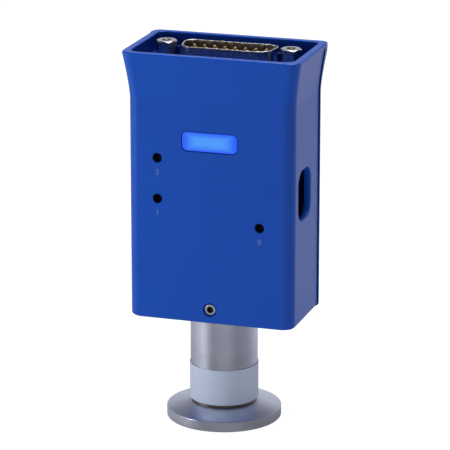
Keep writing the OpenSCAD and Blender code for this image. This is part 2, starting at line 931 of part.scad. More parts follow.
module trimmer(spot) {
    step_y = trimmer_front + trimmer_step;
    color("steelblue")
        translate([spot[0], 0, spot[1]])
            difference() {
                union() {
                    translate([-trimmer_w / 2, step_y, -trimmer_w / 2])
                        cube([trimmer_w, front_board_y - step_y, trimmer_w]);
                    y_bar(trimmer_collar_r, trimmer_front, step_y + bond);
                }
                y_bar(rotor_d / 2 + turn_gap, trimmer_front - over, trimmer_front + pocket_depth);
            }
}

module rotor(spot) {
    color("white")
        translate([spot[0], 0, spot[1]])
            difference() {
                y_bar(rotor_d / 2, trimmer_front, trimmer_front + rotor_l);
                translate([-rotor_d / 2 - over, trimmer_front - over, -rotor_slot_w / 2])
                    cube([rotor_d + 2 * over, rotor_slot_depth + over, rotor_slot_w]);
            }
}

module upper_trimmer() { trimmer(tool_holes[0]); }
module lower_trimmer() { trimmer(tool_holes[1]); }
module zero_trimmer() { trimmer(tool_holes[2]); }
module upper_rotor() { rotor(tool_holes[0]); }
module lower_rotor() { rotor(tool_holes[1]); }
module zero_rotor() { rotor(tool_holes[2]); }

module supply_capacitor() {
    color("silver")
        translate([can_x, 0, case_top - can_drop]) {
            translate([-can_base_w / 2, main_board_back, -can_base_w / 2])
                cube([can_base_w, can_base_t, can_base_w]);
            y_bar(can_r, main_board_back + can_base_t - bond, main_board_back + can_l);
        }
}

module control_chip() {
    body_y = main_board_back + chip_stand;
    color("black")
        translate([0, 0, case_top - chip_drop]) {
            translate([-chip_w / 2, body_y, -chip_h / 2]) cube([chip_w, chip_t, chip_h]);
            for (i = [0 : chip_leads - 1], side = [-1, 1])
                translate([(i - (chip_leads - 1) / 2) * chip_lead_pitch, 0, side * chip_h / 2])
                    chip_lead(side);
        }
}

module chip_lead(side) {
    low = min(0, side * chip_lead_reach) - (side > 0 ? bond : 0);
    reach = chip_lead_reach + bond;
    translate([-chip_lead_w / 2, main_board_back, low])
        cube([chip_lead_w, chip_stand + chip_lead_t, reach]);
}

module regulator() {
    color("dimgray")
        translate([power_x, main_board_back, case_top - can_drop]) {
            translate([-power_w / 2, 0, -power_h / 2]) cube([power_w, power_t, power_h]);
            translate([-power_w / 2, 0, power_h / 2 - bond]) cube([power_w, power_tab_t, power_tab + bond]);
        }
}

// Ears of a D connector's shell: a plate with two holes and the D opening
module ear_plate(z, opening_grow) {
    translate([0, plug_offset, z])
        linear_extrude(ear_t)
            difference() {
                rounded_plan(ear_w / 2, -ear_d / 2, ear_d / 2, ear_r, ear_r);
                d_plan(opening_grow);
                for (x = [-jack_pitch / 2, jack_pitch / 2])
                    translate([x, 0]) circle(ear_hole_r);
            }
}

module d_tube(grow, t, z_from, z_to) {
    translate([0, plug_offset, z_from])
        linear_extrude(z_to - z_from)
            difference() {
                d_plan(grow + t);
                d_plan(grow);
            }
}

module connector_shell() {
    color("lightgray") {
        ear_plate(shell_z, 0);
        d_tube(0, shell_t, shell_z, shell_edge);
    }
}

module back_shell() {
    color("silver") {
        ear_plate(back_shell_z, -back_shell_inset);
        d_tube(-back_shell_inset, shell_t, back_shell_z - back_shell_l, back_shell_z + ear_t);
    }
}

module at_contacts() {
    for (spot = contact_spots)
        translate([spot[0], spot[1], 0]) children();
}

module connector_insulator() {
    color("black")
        difference() {
            union() {
                translate([0, plug_offset, back_shell_z])
                    linear_extrude(insulator_top - back_shell_z) d_plan(-back_shell_inset - insulator_gap);
                translate([0, plug_offset, insulator_low])
                    linear_extrude(back_shell_z - insulator_low + bond)
                        d_plan(-back_shell_inset - insulator_gap);
            }
            at_contacts() translate([0, 0, insulator_low - over])
                cylinder(r = contact_r + seat_gap, h = insulator_top - insulator_low + 2 * over, $fn = 24);
        }
}

module connector_pins() {
    color("gold")
        at_contacts() {
            translate([0, 0, insulator_low])
                cylinder(r = contact_r, h = contact_top - contact_r - insulator_low, $fn = 24);
            translate([0, 0, contact_top - contact_r]) sphere(contact_r, $fn = 24);
            translate([0, 0, insulator_low - tail_l]) cylinder(r = tail_r, h = tail_l + bond, $fn = 24);
        }
}

module jack_posts() {
    post_l = jack_top - shelf_top;
    stud_z = back_shell_z - jack_nut_t;
    color("silver")
        at_jacks()
            difference() {
                union() {
                    translate([0, 0, shelf_top])
                        intersection() {
                            rotate(30) cylinder(r = jack_r, h = post_l, $fn = 6);
                            cylinder(r1 = jack_r + post_l - jack_chamfer, r2 = jack_r - jack_chamfer,
                                h = post_l);
                        }
                    translate([0, 0, stud_z])
                        cylinder(r = jack_stud_r, h = shelf_top - stud_z + bond, $fn = 32);
                }
                translate([0, 0, jack_top - jack_bore_l])
                    cylinder(r = jack_bore_r, h = jack_bore_l + over, $fn = 32);
            }
}

module jack_nuts() {
    color("gray")
        at_jacks() translate([0, 0, back_shell_z - jack_nut_t])
            difference() {
                rotate(30) cylinder(r = jack_r, h = jack_nut_t, $fn = 6);
                translate([0, 0, -over])
                    cylinder(r = jack_stud_r + jack_bore_gap, h = jack_nut_t + 2 * over, $fn = 32);
            }
}

sensor_body();
header_disc();
glass_beads();
header_pins();
filament_supports();
filament();
label_band();
front_case();
rear_cover();
cover_screws();
set_screw();
light_window();
light_frame();
status_leds();
front_board();
main_board();
sensor_board();
standoffs();
board_screws();
board_socket();
board_header();
board_contacts();
link_strip();
link_pins();
upper_trimmer();
lower_trimmer();
zero_trimmer();
upper_rotor();
lower_rotor();
zero_rotor();
supply_capacitor();
control_chip();
regulator();
connector_shell();
back_shell();
connector_insulator();
connector_pins();
jack_posts();
jack_nuts();
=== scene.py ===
import math

import bpy
from mathutils import Matrix, Vector


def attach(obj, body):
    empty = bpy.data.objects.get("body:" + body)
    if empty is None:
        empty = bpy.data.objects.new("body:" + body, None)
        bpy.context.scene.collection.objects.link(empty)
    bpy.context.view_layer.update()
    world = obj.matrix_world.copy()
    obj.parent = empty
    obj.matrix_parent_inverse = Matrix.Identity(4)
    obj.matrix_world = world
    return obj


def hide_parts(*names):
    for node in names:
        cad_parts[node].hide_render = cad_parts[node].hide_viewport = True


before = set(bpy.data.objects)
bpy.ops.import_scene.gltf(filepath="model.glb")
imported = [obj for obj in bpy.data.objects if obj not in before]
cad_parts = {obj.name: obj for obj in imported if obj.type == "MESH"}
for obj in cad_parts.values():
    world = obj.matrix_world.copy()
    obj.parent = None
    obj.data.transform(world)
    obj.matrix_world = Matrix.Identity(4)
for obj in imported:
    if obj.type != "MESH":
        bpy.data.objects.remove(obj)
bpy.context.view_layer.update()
mm = 0.001
mainBody = "gauge"
touch = 0.001  # places no further apart than this, in mm, count as one
sunk = 0.3  # how far an added form runs into the wall that carries it, mm
past = 0.5  # how far a cutting tool runs past the wall, mm


# camera

cameraFit = {
    "azimuth": 17.84,  # degrees to the right of the front
    "elevation": 16.31,
    "distance": 756.5,  # mm
    "target": (0.22, 0, 51.56),  # mm
    "focalPixels": 2927.5,
    "frameWidth": 450,
    "sensor": 36,
    "clip": (0.05, 20),  # m
}


def directionAt(azimuth, elevation):
    # from the middle outwards, by degrees to the right of the front and degrees up
    turn, lift = math.radians(azimuth), math.radians(elevation)
    return Vector((math.sin(turn) * math.cos(lift), -math.cos(turn) * math.cos(lift), math.sin(lift)))


def placeCamera(fit):
    back = directionAt(fit["azimuth"], fit["elevation"])
    data = bpy.data.cameras.new("photoCamera")
    data.sensor_width = fit["sensor"]
    data.lens = fit["focalPixels"] * fit["sensor"] / fit["frameWidth"]
    data.clip_start, data.clip_end = fit["clip"]
    camera = bpy.data.objects.new("photoCamera", data)
    camera.location = (Vector(fit["target"]) + back * fit["distance"]) * mm
    camera.rotation_euler = back.to_track_quat("Z", "Y").to_euler()
    bpy.context.scene.collection.objects.link(camera)
    bpy.context.scene.camera = camera


placeCamera(cameraFit)
print("camera placed")


# colours and shader nodes

def linearColor(hexText):
    parts = [int(hexText[i:i + 2], 16) / 255 for i in (1, 3, 5)]
    return tuple(c / 12.92 if c <= 0.04045 else ((c + 0.055) / 1.055) ** 2.4 for c in parts) + (1.0,)


def addNode(tree, kind, settings=None, values=None, links=None):
    # values go on input sockets, links join an input socket to another node's output
    node = tree.nodes.new(kind)
    for key, value in (settings or {}).items():
        setattr(node, key, value)
    for key, value in (values or {}).items():
        node.inputs[key].default_value = value
    for key, source in (links or {}).items():
        tree.links.new(source, node.inputs[key])
    return node


def newMaterial(name):
    material = bpy.data.materials.new(name)
    material.use_nodes = True
    material.node_tree.nodes.clear()
    return material, material.node_tree


def finishMaterial(tree, shader):
    addNode(tree, "ShaderNodeOutputMaterial", links={"Surface": shader})


def calculate(tree, operation, *inputs, kind="ShaderNodeMath", output="Value"):
    # arithmetic on numbers, vectors and other nodes' outputs
    node = addNode(tree, kind, {"operation": operation})
    for socket, item in zip(node.inputs, inputs):
        if isinstance(item, bpy.types.NodeSocket):
            tree.links.new(item, socket)
        else:
            socket.default_value = item
    return node.outputs[output]


def calculateVector(tree, operation, *inputs, output="Vector"):
    return calculate(tree, operation, *inputs, kind="ShaderNodeVectorMath", output=output)


def splitAxes(tree, vector):
    return addNode(tree, "ShaderNodeSeparateXYZ", links={"Vector": vector}).outputs


def joinAxes(tree, **axes):
    return addNode(tree, "ShaderNodeCombineXYZ", links=axes).outputs["Vector"]


def mapRange(tree, value, start, end, low=0.0, high=1.0, smooth=False):
    # runs from low to high while the value runs from start to end
    settings = {"interpolation_type": "SMOOTHSTEP" if smooth else "LINEAR"}
    values = {"From Min": start, "From Max": end, "To Min": low, "To Max": high}
    return addNode(tree, "ShaderNodeMapRange", settings, values, {"Value": value}).outputs["Result"]


def mixColors(tree, factor, first, second, blend="MIX"):
    # a colour is a hex text or another node's output
    mix = addNode(tree, "ShaderNodeMix", {"data_type": "RGBA", "blend_type": blend}, links={"Factor": factor})
    for socket, color in ((mix.inputs["A"], first), (mix.inputs["B"], second)):
        if isinstance(color, str):
            socket.default_value = linearColor(color)
        else:
            tree.links.new(color, socket)
    return mix.outputs["Result"]


def objectPlace(tree):
    return addNode(tree, "ShaderNodeTexCoord").outputs["Object"]


def objectPattern(tree, stepMm):
    # Object coordinates divided by the size of one step of the pattern
    scale = (1 / (stepMm * mm),) * 3
    mapping = addNode(tree, "ShaderNodeMapping", values={"Scale": scale}, links={"Vector": objectPlace(tree)})
    return mapping.outputs["Vector"]


def plainNoise(tree, vector, detail):
    noise = addNode(tree, "ShaderNodeTexNoise", values={"Scale": 1.0, "Detail": detail}, links={"Vector": vector})
    return noise.outputs["Fac"]


def roughNoise(tree, vector, middle, spread, detail=2.0):
    # a roughness that the noise moves up and down by the spread
    return mapRange(tree, plainNoise(tree, vector, detail), 0.25, 0.75, middle - spread, middle + spread)


def noiseColor(tree, stepMm, first, second):
    return mixColors(tree, plainNoise(tree, objectPattern(tree, stepMm), 3.0), first, second)


def bumpFrom(tree, height, strength, depthMm):
    bump = addNode(tree, "ShaderNodeBump", values={"Strength": strength, "Distance": depthMm * mm},
                   links={"Height": height})
    return bump.outputs["Normal"]


def tintNear(tree, color, distance, band):
    # tints where a distance, in metres, lies within reach of a place, both in mm
    place, reach, tint = band
    near = calculate(tree, "COMPARE", distance, place * mm, reach * mm)
    return mixColors(tree, near, color, tint, "MULTIPLY")


def tintInside(tree, color, place, box):
    # tints inside a box between two corners in mm
    low, high, tint = box
    middle = [(a + b) / 2 * mm for a, b in zip(low, high)]
    half = [(b - a) / 2 * mm for a, b in zip(low, high)]
    share = calculateVector(tree, "DIVIDE", calculateVector(tree, "SUBTRACT", place, middle), half)
    size = splitAxes(tree, calculateVector(tree, "ABSOLUTE", share))
    wide = calculate(tree, "MAXIMUM", size["X"], size["Y"])
    within = calculate(tree, "LESS_THAN", calculate(tree, "MAXIMUM", wide, size["Z"]), 1.0)
    return mixColors(tree, within, color, tint, "MULTIPLY")


mouldedLook = {"cloudMm": 9, "spread": 0.04, "grainDetail": 1.5, "bump": 0.5}


def mouldedPlastic(name, first, second, roughness, grainMm, grainDepthMm, specular=0.5, seam=None,
                   paintedShadeBox=None, look=mouldedLook):
    # a fine even grain from the eroded tool, and a soft sheen; seam is painted shade along the line where two
    # mouldings meet, as (y in mm, half width in mm, tint), and the box is painted shade that darkens the colour
    # inside it
    material, tree = newMaterial(name)
    color = noiseColor(tree, look["cloudMm"], first, second)
    place = objectPlace(tree)
    # painted shade darkens the colour along the seam
    if seam:
        color = tintNear(tree, color, splitAxes(tree, place)["Y"], seam)
    # painted shade darkens the colour inside the box
    if paintedShadeBox:
        color = tintInside(tree, color, place, paintedShadeBox)
    fine = objectPattern(tree, grainMm)
    grain = plainNoise(tree, fine, look["grainDetail"])
    shader = addNode(tree, "ShaderNodeBsdfPrincipled", values={"Specular IOR Level": specular},
                     links={"Base Color": color, "Roughness": roughNoise(tree, fine, roughness, look["spread"]),
                            "Normal": bumpFrom(tree, grain, look["bump"], grainDepthMm)})
    finishMaterial(tree, shader.outputs["BSDF"])
    return material


turnedLook = {"stainMm": 6, "patchMm": 2.5, "spread": 0.05, "lineDetail": 3.0, "bump": 0.4,
              "anisotropy": 0.5, "turn": 0.25}


def turnedMetal(name, first, second, roughness, lineMm, lineDepthMm, darkBand=None, look=turnedLook):
    # metal turned in a lathe: fine rings round the axis, so highlights spread along it; the band darkens the colour
    # at one height, as (height in mm, half width in mm, tint)
    material, tree = newMaterial(name)
    place = splitAxes(tree, objectPlace(tree))
    radius = calculateVector(tree, "LENGTH", joinAxes(tree, X=place["X"], Y=place["Y"]), output="Value")
    lines = addNode(tree, "ShaderNodeTexNoise", {"noise_dimensions": "1D"},
                    values={"Scale": 1 / (lineMm * mm), "Detail": look["lineDetail"]},
                    links={"W": calculate(tree, "ADD", radius, place["Z"])}).outputs["Fac"]
    color = noiseColor(tree, look["stainMm"], first, second)
    if darkBand:
        color = tintNear(tree, color, place["Z"], darkBand)
    spread = look["spread"]
    ringed = mapRange(tree, lines, 0.3, 0.7, roughness - spread, roughness + spread)
    patches = roughNoise(tree, objectPattern(tree, look["patchMm"]), 0, spread)
    around = joinAxes(tree, X=calculate(tree, "MULTIPLY", place["Y"], -1.0), Y=place["X"])
    shader = addNode(tree, "ShaderNodeBsdfPrincipled",
                     values={"Metallic": 1.0, "Anisotropic": look["anisotropy"],
                             "Anisotropic Rotation": look["turn"]},
                     links={"Base Color": color, "Roughness": calculate(tree, "ADD", ringed, patches),
                            "Tangent": calculateVector(tree, "NORMALIZE", around),
                            "Normal": bumpFrom(tree, lines, look["bump"], lineDepthMm)})
    finishMaterial(tree, shader.outputs["BSDF"])
    return material


platedLook = {"cloudMm": 3, "grainMm": 0.8, "grainDepthMm": 0.0006, "spread": 0.04, "roughDetail": 1.0,
              "grainDetail": 0.5, "bump": 0.3}


def platedMetal(name, first, second, roughness, socket=None, look=platedLook):
    # plated or drawn metal: bright, with faint uneven patches; socket is the axis of a deep hole whose inside gets
    # painted shade, as (x, z, reach, tint), in mm
    material, tree = newMaterial(name)
    color = noiseColor(tree, look["cloudMm"], first, second)
    # painted shade darkens the colour near the socket's axis
    if socket:
        x, z, reach, tint = socket
        place = splitAxes(tree, objectPlace(tree))
        fromAxis = calculateVector(tree, "DISTANCE", joinAxes(tree, X=place["X"], Z=place["Z"]),
                                   (x * mm, 0, z * mm), output="Value")
        color = tintNear(tree, color, fromAxis, (0, reach, tint))
    fine = objectPattern(tree, look["grainMm"])
    rough = roughNoise(tree, fine, roughness, look["spread"], look["roughDetail"])
    grain = plainNoise(tree, fine, look["grainDetail"])
    shader = addNode(tree, "ShaderNodeBsdfPrincipled", values={"Metallic": 1.0},
                     links={"Base Color": color, "Roughness": rough,
                            "Normal": bumpFrom(tree, grain, look["bump"], look["grainDepthMm"])})
    finishMaterial(tree, shader.outputs["BSDF"])
    return material


materials = {
    # bright nickel plate on pressed steel
    "nickel": platedMetal("nickelPlatedSteel", "#c4c2bd", "#d2d0ca", 0.24),
    # zinc plated screw steel
    "zinc": platedMetal("zincPlatedSteel", "#c6c8ce", "#d6d8dc", 0.26),
    # gold flash on brass contacts
    "gold": platedMetal("goldPlatedBrass", "#a5835a", "#b59468", 0.3),
    # turned brass spacers
    "brass": turnedMetal("turnedBrass", "#b08a45", "#c29b52", 0.3, 0.15, 0.003),
    # glass filled black polyester of connectors and chips
    "black": mouldedPlastic("glassFilledPolyesterBlack", "#0e0e10", "#161618", 0.5, 0.2, 0.004),
    # satin white polyester film of the wrapped band
    "film": mouldedPlastic("satinPolyesterFilm", "#b6c2da", "#bcc8de", 0.4, 0.5, 0.002),
    # white diffusing plastic of the light frame and lamps
    "white": mouldedPlastic("whitePolycarbonate", "#dcdcd6", "#e6e6e0", 0.45, 0.3, 0.003),
    # green solder mask over copper and glass laminate: glossy, with a faint weave
    "board": mouldedPlastic("solderMaskOnGlassLaminate", "#0c3d22", "#11492a", 0.28, 0.4, 0.004),
    # dark thermoplastic of the trimmers, which leaves the holes in front of them black
    "trimmer": mouldedPlastic("trimmerThermoplastic", "#14161c", "#191c23", 0.45, 0.2, 0.003),
    # dark rotor of a trimmer
    "rotor": mouldedPlastic("rotorNylon", "#131314", "#1a1a1c", 0.5, 0.2, 0.003),
    # drawn aluminium can
    "can": platedMetal("drawnAluminium", "#b9bbbf", "#c8cace", 0.3),
    # nickel iron header alloy
    "header": platedMetal("nickelIronAlloy", "#8d8a85", "#9b9893", 0.35),
    # drawn tungsten wire
    "tungsten": platedMetal("drawnTungsten", "#55555a", "#66666b", 0.4),
    # grey-blue screen print
    "print": mouldedPlastic("screenPrintGrey", "#5d76ad", "#6880b4", 0.5, 0.3, 0.001),
}


def sealGlass(name):
    # compression seal glass: dark green, glossy
    material, tree = newMaterial(name)
    shader = addNode(tree, "ShaderNodeBsdfPrincipled", values={"Roughness": 0.1, "Transmission Weight": 0.3},
                     links={"Base Color": noiseColor(tree, 1.5, "#243f38", "#2e4d44")})
    finishMaterial(tree, shader.outputs["BSDF"])
    return material


materials["glass"] = sealGlass("compressionSealGlass")

print("shared materials made")


# modelling helpers

def deselectAll():
    if bpy.context.object and bpy.context.object.mode != "OBJECT":
        bpy.ops.object.mode_set(mode="OBJECT")
    bpy.ops.object.select_all(action="DESELECT")


def pickPiece(piece):
    deselectAll()
    bpy.context.view_layer.objects.active = piece
    piece.select_set(True)


def editPiece(piece):
    pickPiece(piece)
    bpy.ops.object.mode_set(mode="EDIT")
    bpy.context.tool_settings.mesh_select_mode = (True, True, True)


def leaveEdit():
    bpy.ops.object.mode_set(mode="OBJECT")


def selectWhere(piece, kind, test):
    # chooses faces, edges or vertices by their places, in mm, then goes back to edit mode
    bpy.context.tool_settings.mesh_select_mode = (kind == "verts", kind == "edges", kind == "faces")
    bpy.ops.mesh.select_all(action="DESELECT")
    leaveEdit()
    mesh = piece.data
    points = [v.co / mm for v in mesh.vertices]
    items = {"faces": mesh.polygons, "edges": mesh.edges, "verts": mesh.vertices}[kind]
    for item in items:
        places = [points[item.index]] if kind == "verts" else [points[i] for i in item.vertices]
        item.select = test(places)
    bpy.ops.object.mode_set(mode="EDIT")


def settle(piece):
    # leaves the object at the origin, with its place in its mesh
    piece.data.transform(piece.matrix_world)
    piece.matrix_world = Matrix.Identity(4)


def cleanNormals(piece):
    editPiece(piece)
    bpy.ops.mesh.select_all(action="SELECT")
    bpy.ops.mesh.remove_doubles(threshold=0.0005 * mm)
    bpy.ops.mesh.normals_make_consistent(inside=False)
    leaveEdit()


def bevelEdges(piece, test, width, steps=3):
    # rounds the edges whose ends, in mm, pass the test
    editPiece(piece)
    selectWhere(piece, "edges", test)
    bpy.ops.mesh.bevel(offset=width * mm, segments=steps, affect="EDGES")
    leaveEdit()


def allAt(points, axis, place):
    # whether all the points lie at one place along an axis, in mm
    return all(abs(point["XYZ".index(axis)] - place) < touch for point in points)


def shiftPiece(piece, x, y, z=0):
    piece.data.transform(Matrix.Translation((x * mm, y * mm, z * mm)))


def applyModifier(piece, kind, **settings):
    pickPiece(piece)
    modifier = piece.modifiers.new(kind.lower(), kind)
    for key, value in settings.items():
        setattr(modifier, key, value)
    bpy.ops.object.modifier_apply(modifier=modifier.name)


def joinPieces(pieces):
    deselectAll()
    for piece in pieces:
        piece.select_set(True)
    bpy.context.view_layer.objects.active = pieces[0]
    bpy.ops.object.join()
    return pieces[0]


def combine(piece, tools, operation):
    # tools may overlap one another, as a post does with the socket beside it
    tool = joinPieces(tools)
    cleanNormals(tool)
    applyModifier(piece, "BOOLEAN", object=tool, operation=operation, solver="EXACT", use_self=len(tools) > 1)
    bpy.data.objects.remove(tool)


def shadeByAngle(piece, degrees=32):
    pickPiece(piece)
    bpy.ops.object.shade_smooth_by_angle(angle=math.radians(degrees))
    applyModifier(piece, "WEIGHTED_NORMAL", keep_sharp=True, weight=80)


def dress(piece, materialName, nodeName=None, body=mainBody):
    piece.data.materials.clear()
    piece.data.materials.append(materials[materialName])
    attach(piece, body)
    if nodeName:
        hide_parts(nodeName)
    print("made", piece.name)


def copyPiece(piece, name, shift):
    twin = piece.copy()
    twin.data = piece.data.copy()
    twin.name = name
    bpy.context.scene.collection.objects.link(twin)
    shiftPiece(twin, *shift)
    return twin


def lathe(name, profile, sides):
    # a disc pulled up ring by ring: profile is (radius, height) in mm, from one end to the other
    deselectAll()
    firstR, firstZ = profile[0]
    bpy.ops.mesh.primitive_circle_add(vertices=sides, radius=firstR * mm, fill_type="NGON",
                                      location=(0, 0, firstZ * mm))
    piece = bpy.context.object
    piece.name = name
    settle(piece)
    editPiece(piece)
    bpy.ops.mesh.select_all(action="SELECT")
    lastR, lastZ = profile[0]
    for r, z in profile[1:]:
        bpy.ops.mesh.extrude_region_move(TRANSFORM_OT_translate={"value": (0, 0, (z - lastZ) * mm)})
        bpy.ops.transform.resize(value=(r / lastR, r / lastR, 1), center_override=(0, 0, z * mm))
        lastR, lastZ = r, z
    leaveEdit()
    cleanNormals(piece)
    return piece


def turnToFront(piece, x, z, y=0):
    # turns a lathed piece so that its top, which points up, points to the front
    piece.data.transform(Matrix.Rotation(math.radians(90), 4, "X"))
    shiftPiece(piece, x, y, z)


def openThrough(piece, sides, test):
    # takes off the two end discs of a lathed piece and bridges the two rings left, which pass the test
    editPiece(piece)
    selectWhere(piece, "faces", lambda p: len(p) == sides)
    bpy.ops.mesh.delete(type="ONLY_FACE")
    selectWhere(piece, "edges", test)
    bpy.ops.mesh.bridge_edge_loops()
    leaveEdit()
    cleanNormals(piece)


def arcSteps(centreR, centreZ, radius, startDeg, endDeg, count):
    angles = [math.radians(startDeg + (endDeg - startDeg) * i / count) for i in range(count + 1)]
    return [(centreR + radius * math.cos(a), centreZ + radius * math.sin(a)) for a in angles]


# sensor body: flange, neck and tube turned from one bar

sensorShape = {
    "flangeR": 15, "rim": 2.8, "slopeDeg": 15, "tubeR": 8.8, "neckR": 8.65, "neckLength": 0.8,
    "top": 38.4, "recessR": 8.6, "recessDepth": 3, "boreR": 8, "edge": 0.25, "topEdge": 0.2, "boreEdge": 0.1,
    "recessEdge": 0.12, "ease": 0.05, "tubeRings": (10, 20), "edgeSteps": 4, "rimTurn": 75, "sides": 160,
    "foot": ((0.06, -0.02), (0, 0.06)),  # the neck's lower corner, from its radius and height
    "step": ((-0.06, 0), (0, 0.06)),  # the corner where the tube starts
    "neckBand": (4.95, 0.46, "#85786e"),
}

# stainless steel, turned: silvery grey with rings round the tube, a darker brown band at the neck
materials["steel"] = turnedMetal("turnedStainlessSteel", "#d3d5e0", "#f0f2fc", 0.36, 0.16, 0.004,
                                 sensorShape["neckBand"])


def makeSensorBody(s):
    edge, lip, ease, steps = s["edge"], s["recessEdge"], s["ease"], s["edgeSteps"]
    flangeR, neckR, tubeR, boreR, recessR = s["flangeR"], s["neckR"], s["tubeR"], s["boreR"], s["recessR"]
    top, topEdge, boreEdge, depth = s["top"], s["topEdge"], s["boreEdge"], s["recessDepth"]
    neckZ = s["rim"] + (flangeR - neckR) * math.tan(math.radians(s["slopeDeg"]))
    tubeZ = neckZ + s["neckLength"]
    profile = [(recessR + lip, 0)]
    profile += arcSteps(flangeR - edge, edge, edge, -90, 0, steps)
    profile += arcSteps(flangeR - edge, s["rim"] - edge, edge, 0, s["rimTurn"], steps)
    profile += [(neckR + r, neckZ + z) for r, z in s["foot"]] + [(neckR, tubeZ - ease)]
    profile += [(tubeR + r, tubeZ + z) for r, z in s["step"]]
    profile += [(tubeR, tubeZ + ring) for ring in s["tubeRings"]]
    profile += [(tubeR, top - topEdge), (tubeR - topEdge, top), (boreR + boreEdge, top), (boreR, top - boreEdge),
                (boreR, depth), (recessR - ease, depth), (recessR, depth - ease), (recessR, lip)]
    piece = lathe("sensorBody", profile, s["sides"])
    openThrough(piece, s["sides"], lambda p: (allAt(p, "Z", 0) or allAt(p, "Z", lip))
                and all(q.xy.length < recessR + lip + 0.01 for q in p))
    shadeByAngle(piece, 30)
    dress(piece, "steel", "sensor_body")


makeSensorBody(sensorShape)


# band of film round the tube

bandShape = {"low": 5.15, "height": 9.56, "inner": 8.83, "outer": 9.0, "edge": 0.05, "rings": (0.25, 0.5, 0.75),
             "sides": 160}


def makeBand(s):
    low, high, inner, outer, edge = s["low"], s["low"] + s["height"], s["inner"], s["outer"], s["edge"]
    profile = [(inner, low), (outer - edge, low), (outer, low + edge)]
    profile += [(outer, low + s["height"] * share) for share in s["rings"]]
    profile += [(outer, high - edge), (outer - edge, high), (inner, high)]
    piece = lathe("labelBand", profile, s["sides"])
    openThrough(piece, s["sides"], lambda p: all(abs(q.xy.length - inner) < 0.01 for q in p))
    shadeByAngle(piece, 30)
    dress(piece, "film", "label_band")


makeBand(bandShape)


# housing: both shells are pulled up from a rounded rectangle, then cut apart at the seam

housing = {
    "halfW": 22.05, "front": -12.15, "back": 13.35, "low": 28.4, "top": 98.7, "frontR": 2.75, "backR": 2.0,
    "baseR": 0.9, "flare": 1.6, "flareHeight": 12.3, "flarePower": 1.35, "flareSteps": 16, "rimR": 0.5,
    "rimW": 2.0, "innerRimR": 0.25, "hoodDepth": 4.3, "hoodFloorR": 0.4, "shelf": 1.5, "wall": 1.9, "seam": 10.8,
    "proud": 0.3, "cornerSteps": 12, "edgeSteps": 6, "seamEdge": 0.12, "seamGap": 0.05,
}
housing["inset"] = housing["rimW"] - housing["flare"]
housing["shelfTop"] = housing["top"] - housing["hoodDepth"]
housing["shelfUnder"] = housing["shelfTop"] - housing["shelf"]
housing["floor"] = housing["low"] + housing["wall"]
housing["frontIn"] = housing["front"] + housing["wall"]
housing["backIn"] = housing["back"] - housing["wall"]
housing["sideIn"] = housing["halfW"] - housing["wall"]

# painted shade: tints that darken the case's colour along the seam and inside the hood
casePaintedShade = {"seam": "#8a8a94", "seamShadeHalfW": 0.08, "hood": "#b4b4c0", "hoodReach": 0.03, "hoodLow": 0.2,
             "hoodTop": 0.35}


def makeCasePlastic(h, t):
    # spark-eroded ABS moulding in strong blue: even colour, soft sheen, with painted shade at the seam and inside
    # the hood
    reach = t["hoodReach"] - h["inset"]
    low = (-h["halfW"] - reach, h["front"] - reach, h["shelfTop"] - t["hoodLow"])
    high = (h["halfW"] + reach, h["back"] + reach, h["top"] - t["hoodTop"])
    return mouldedPlastic("mouldedAbsBlue", "#0c49b0", "#104eb8", 0.3, 0.35, 0.006, 0.23,
                          seam=(h["seam"], t["seamShadeHalfW"], t["seam"]), paintedShadeBox=(low, high, t["hood"]))


materials["caseBlue"] = makeCasePlastic(housing, casePaintedShade)


def skinRings(h, proud):
    # rings of the outer skin and the hood as (half width, front, back, height)
    rings = []
    steps, inset = h["edgeSteps"], h["inset"]
    quarter = [math.radians(90 * i / steps) for i in range(steps + 1)]

    def ring(offset, z):
        # the cover, which stands out at the sides, ends flush with the front case at the rim
        halfW = min(h["halfW"] + proud + offset, h["halfW"] + h["flare"])
        rings.append((halfW, h["front"] - offset, h["back"] + offset, z))

    def hoodRing(extra, z):
        rings.append((h["halfW"] - inset + extra, h["front"] + inset - extra, h["back"] - inset + extra, z))

    for a in quarter:
        ring(h["baseR"] * (math.sin(a) - 1), h["low"] + h["baseR"] * (1 - math.cos(a)))
    for i in range(h["flareSteps"] + 1):
        t = i / h["flareSteps"]
        ring(h["flare"] * t ** h["flarePower"],
             h["top"] - h["flareHeight"] + t * (h["flareHeight"] - h["rimR"]))
    for a in quarter[1:]:
        ring(h["flare"] - h["rimR"] * (1 - math.cos(a)), h["top"] - h["rimR"] * (1 - math.sin(a)))
    for a in quarter:
        hoodRing(h["innerRimR"] * (1 - math.sin(a)), h["top"] - h["innerRimR"] * (1 - math.cos(a)))
    for a in quarter:
        hoodRing(-h["hoodFloorR"] * (1 - math.cos(a)), h["shelfTop"] + h["hoodFloorR"] * (1 - math.sin(a)))
    return rings


def pullRings(name, rings, h):
    halfW, front, back, z = rings[0]
    middle = (front + back) / 2
    deselectAll()
    bpy.ops.mesh.primitive_plane_add(size=1, location=(0, 0, 0))
    piece = bpy.context.object
    piece.name = name
    piece.data.transform(Matrix.Diagonal((2 * halfW * mm, (back - front) * mm, 1, 1)))
    shiftPiece(piece, 0, middle, z)
    editPiece(piece)
    for radius, test in ((h["frontR"], lambda p: p[0].y < middle), (h["backR"], lambda p: p[0].y > back - 0.01)):
        selectWhere(piece, "verts", test)
        bpy.ops.mesh.bevel(offset=radius * mm, segments=h["cornerSteps"], affect="VERTICES")
    bpy.context.tool_settings.mesh_select_mode = (False, False, True)
    bpy.ops.mesh.select_all(action="SELECT")
    for nextHalf, nextFront, nextBack, nextZ in rings[1:]:
        nextMiddle = (nextFront + nextBack) / 2
        shift = nextMiddle - (front + back) / 2
        bpy.ops.mesh.extrude_region_move(TRANSFORM_OT_translate={"value": (0, shift * mm, (nextZ - z) * mm)})
        bpy.ops.transform.resize(value=(nextHalf / halfW, (nextBack - nextFront) / (back - front), 1),
                                 center_override=(0, nextMiddle * mm, nextZ * mm))
        halfW, front, back, z = nextHalf, nextFront, nextBack, nextZ
    leaveEdit()
    cleanNormals(piece)
    return piece


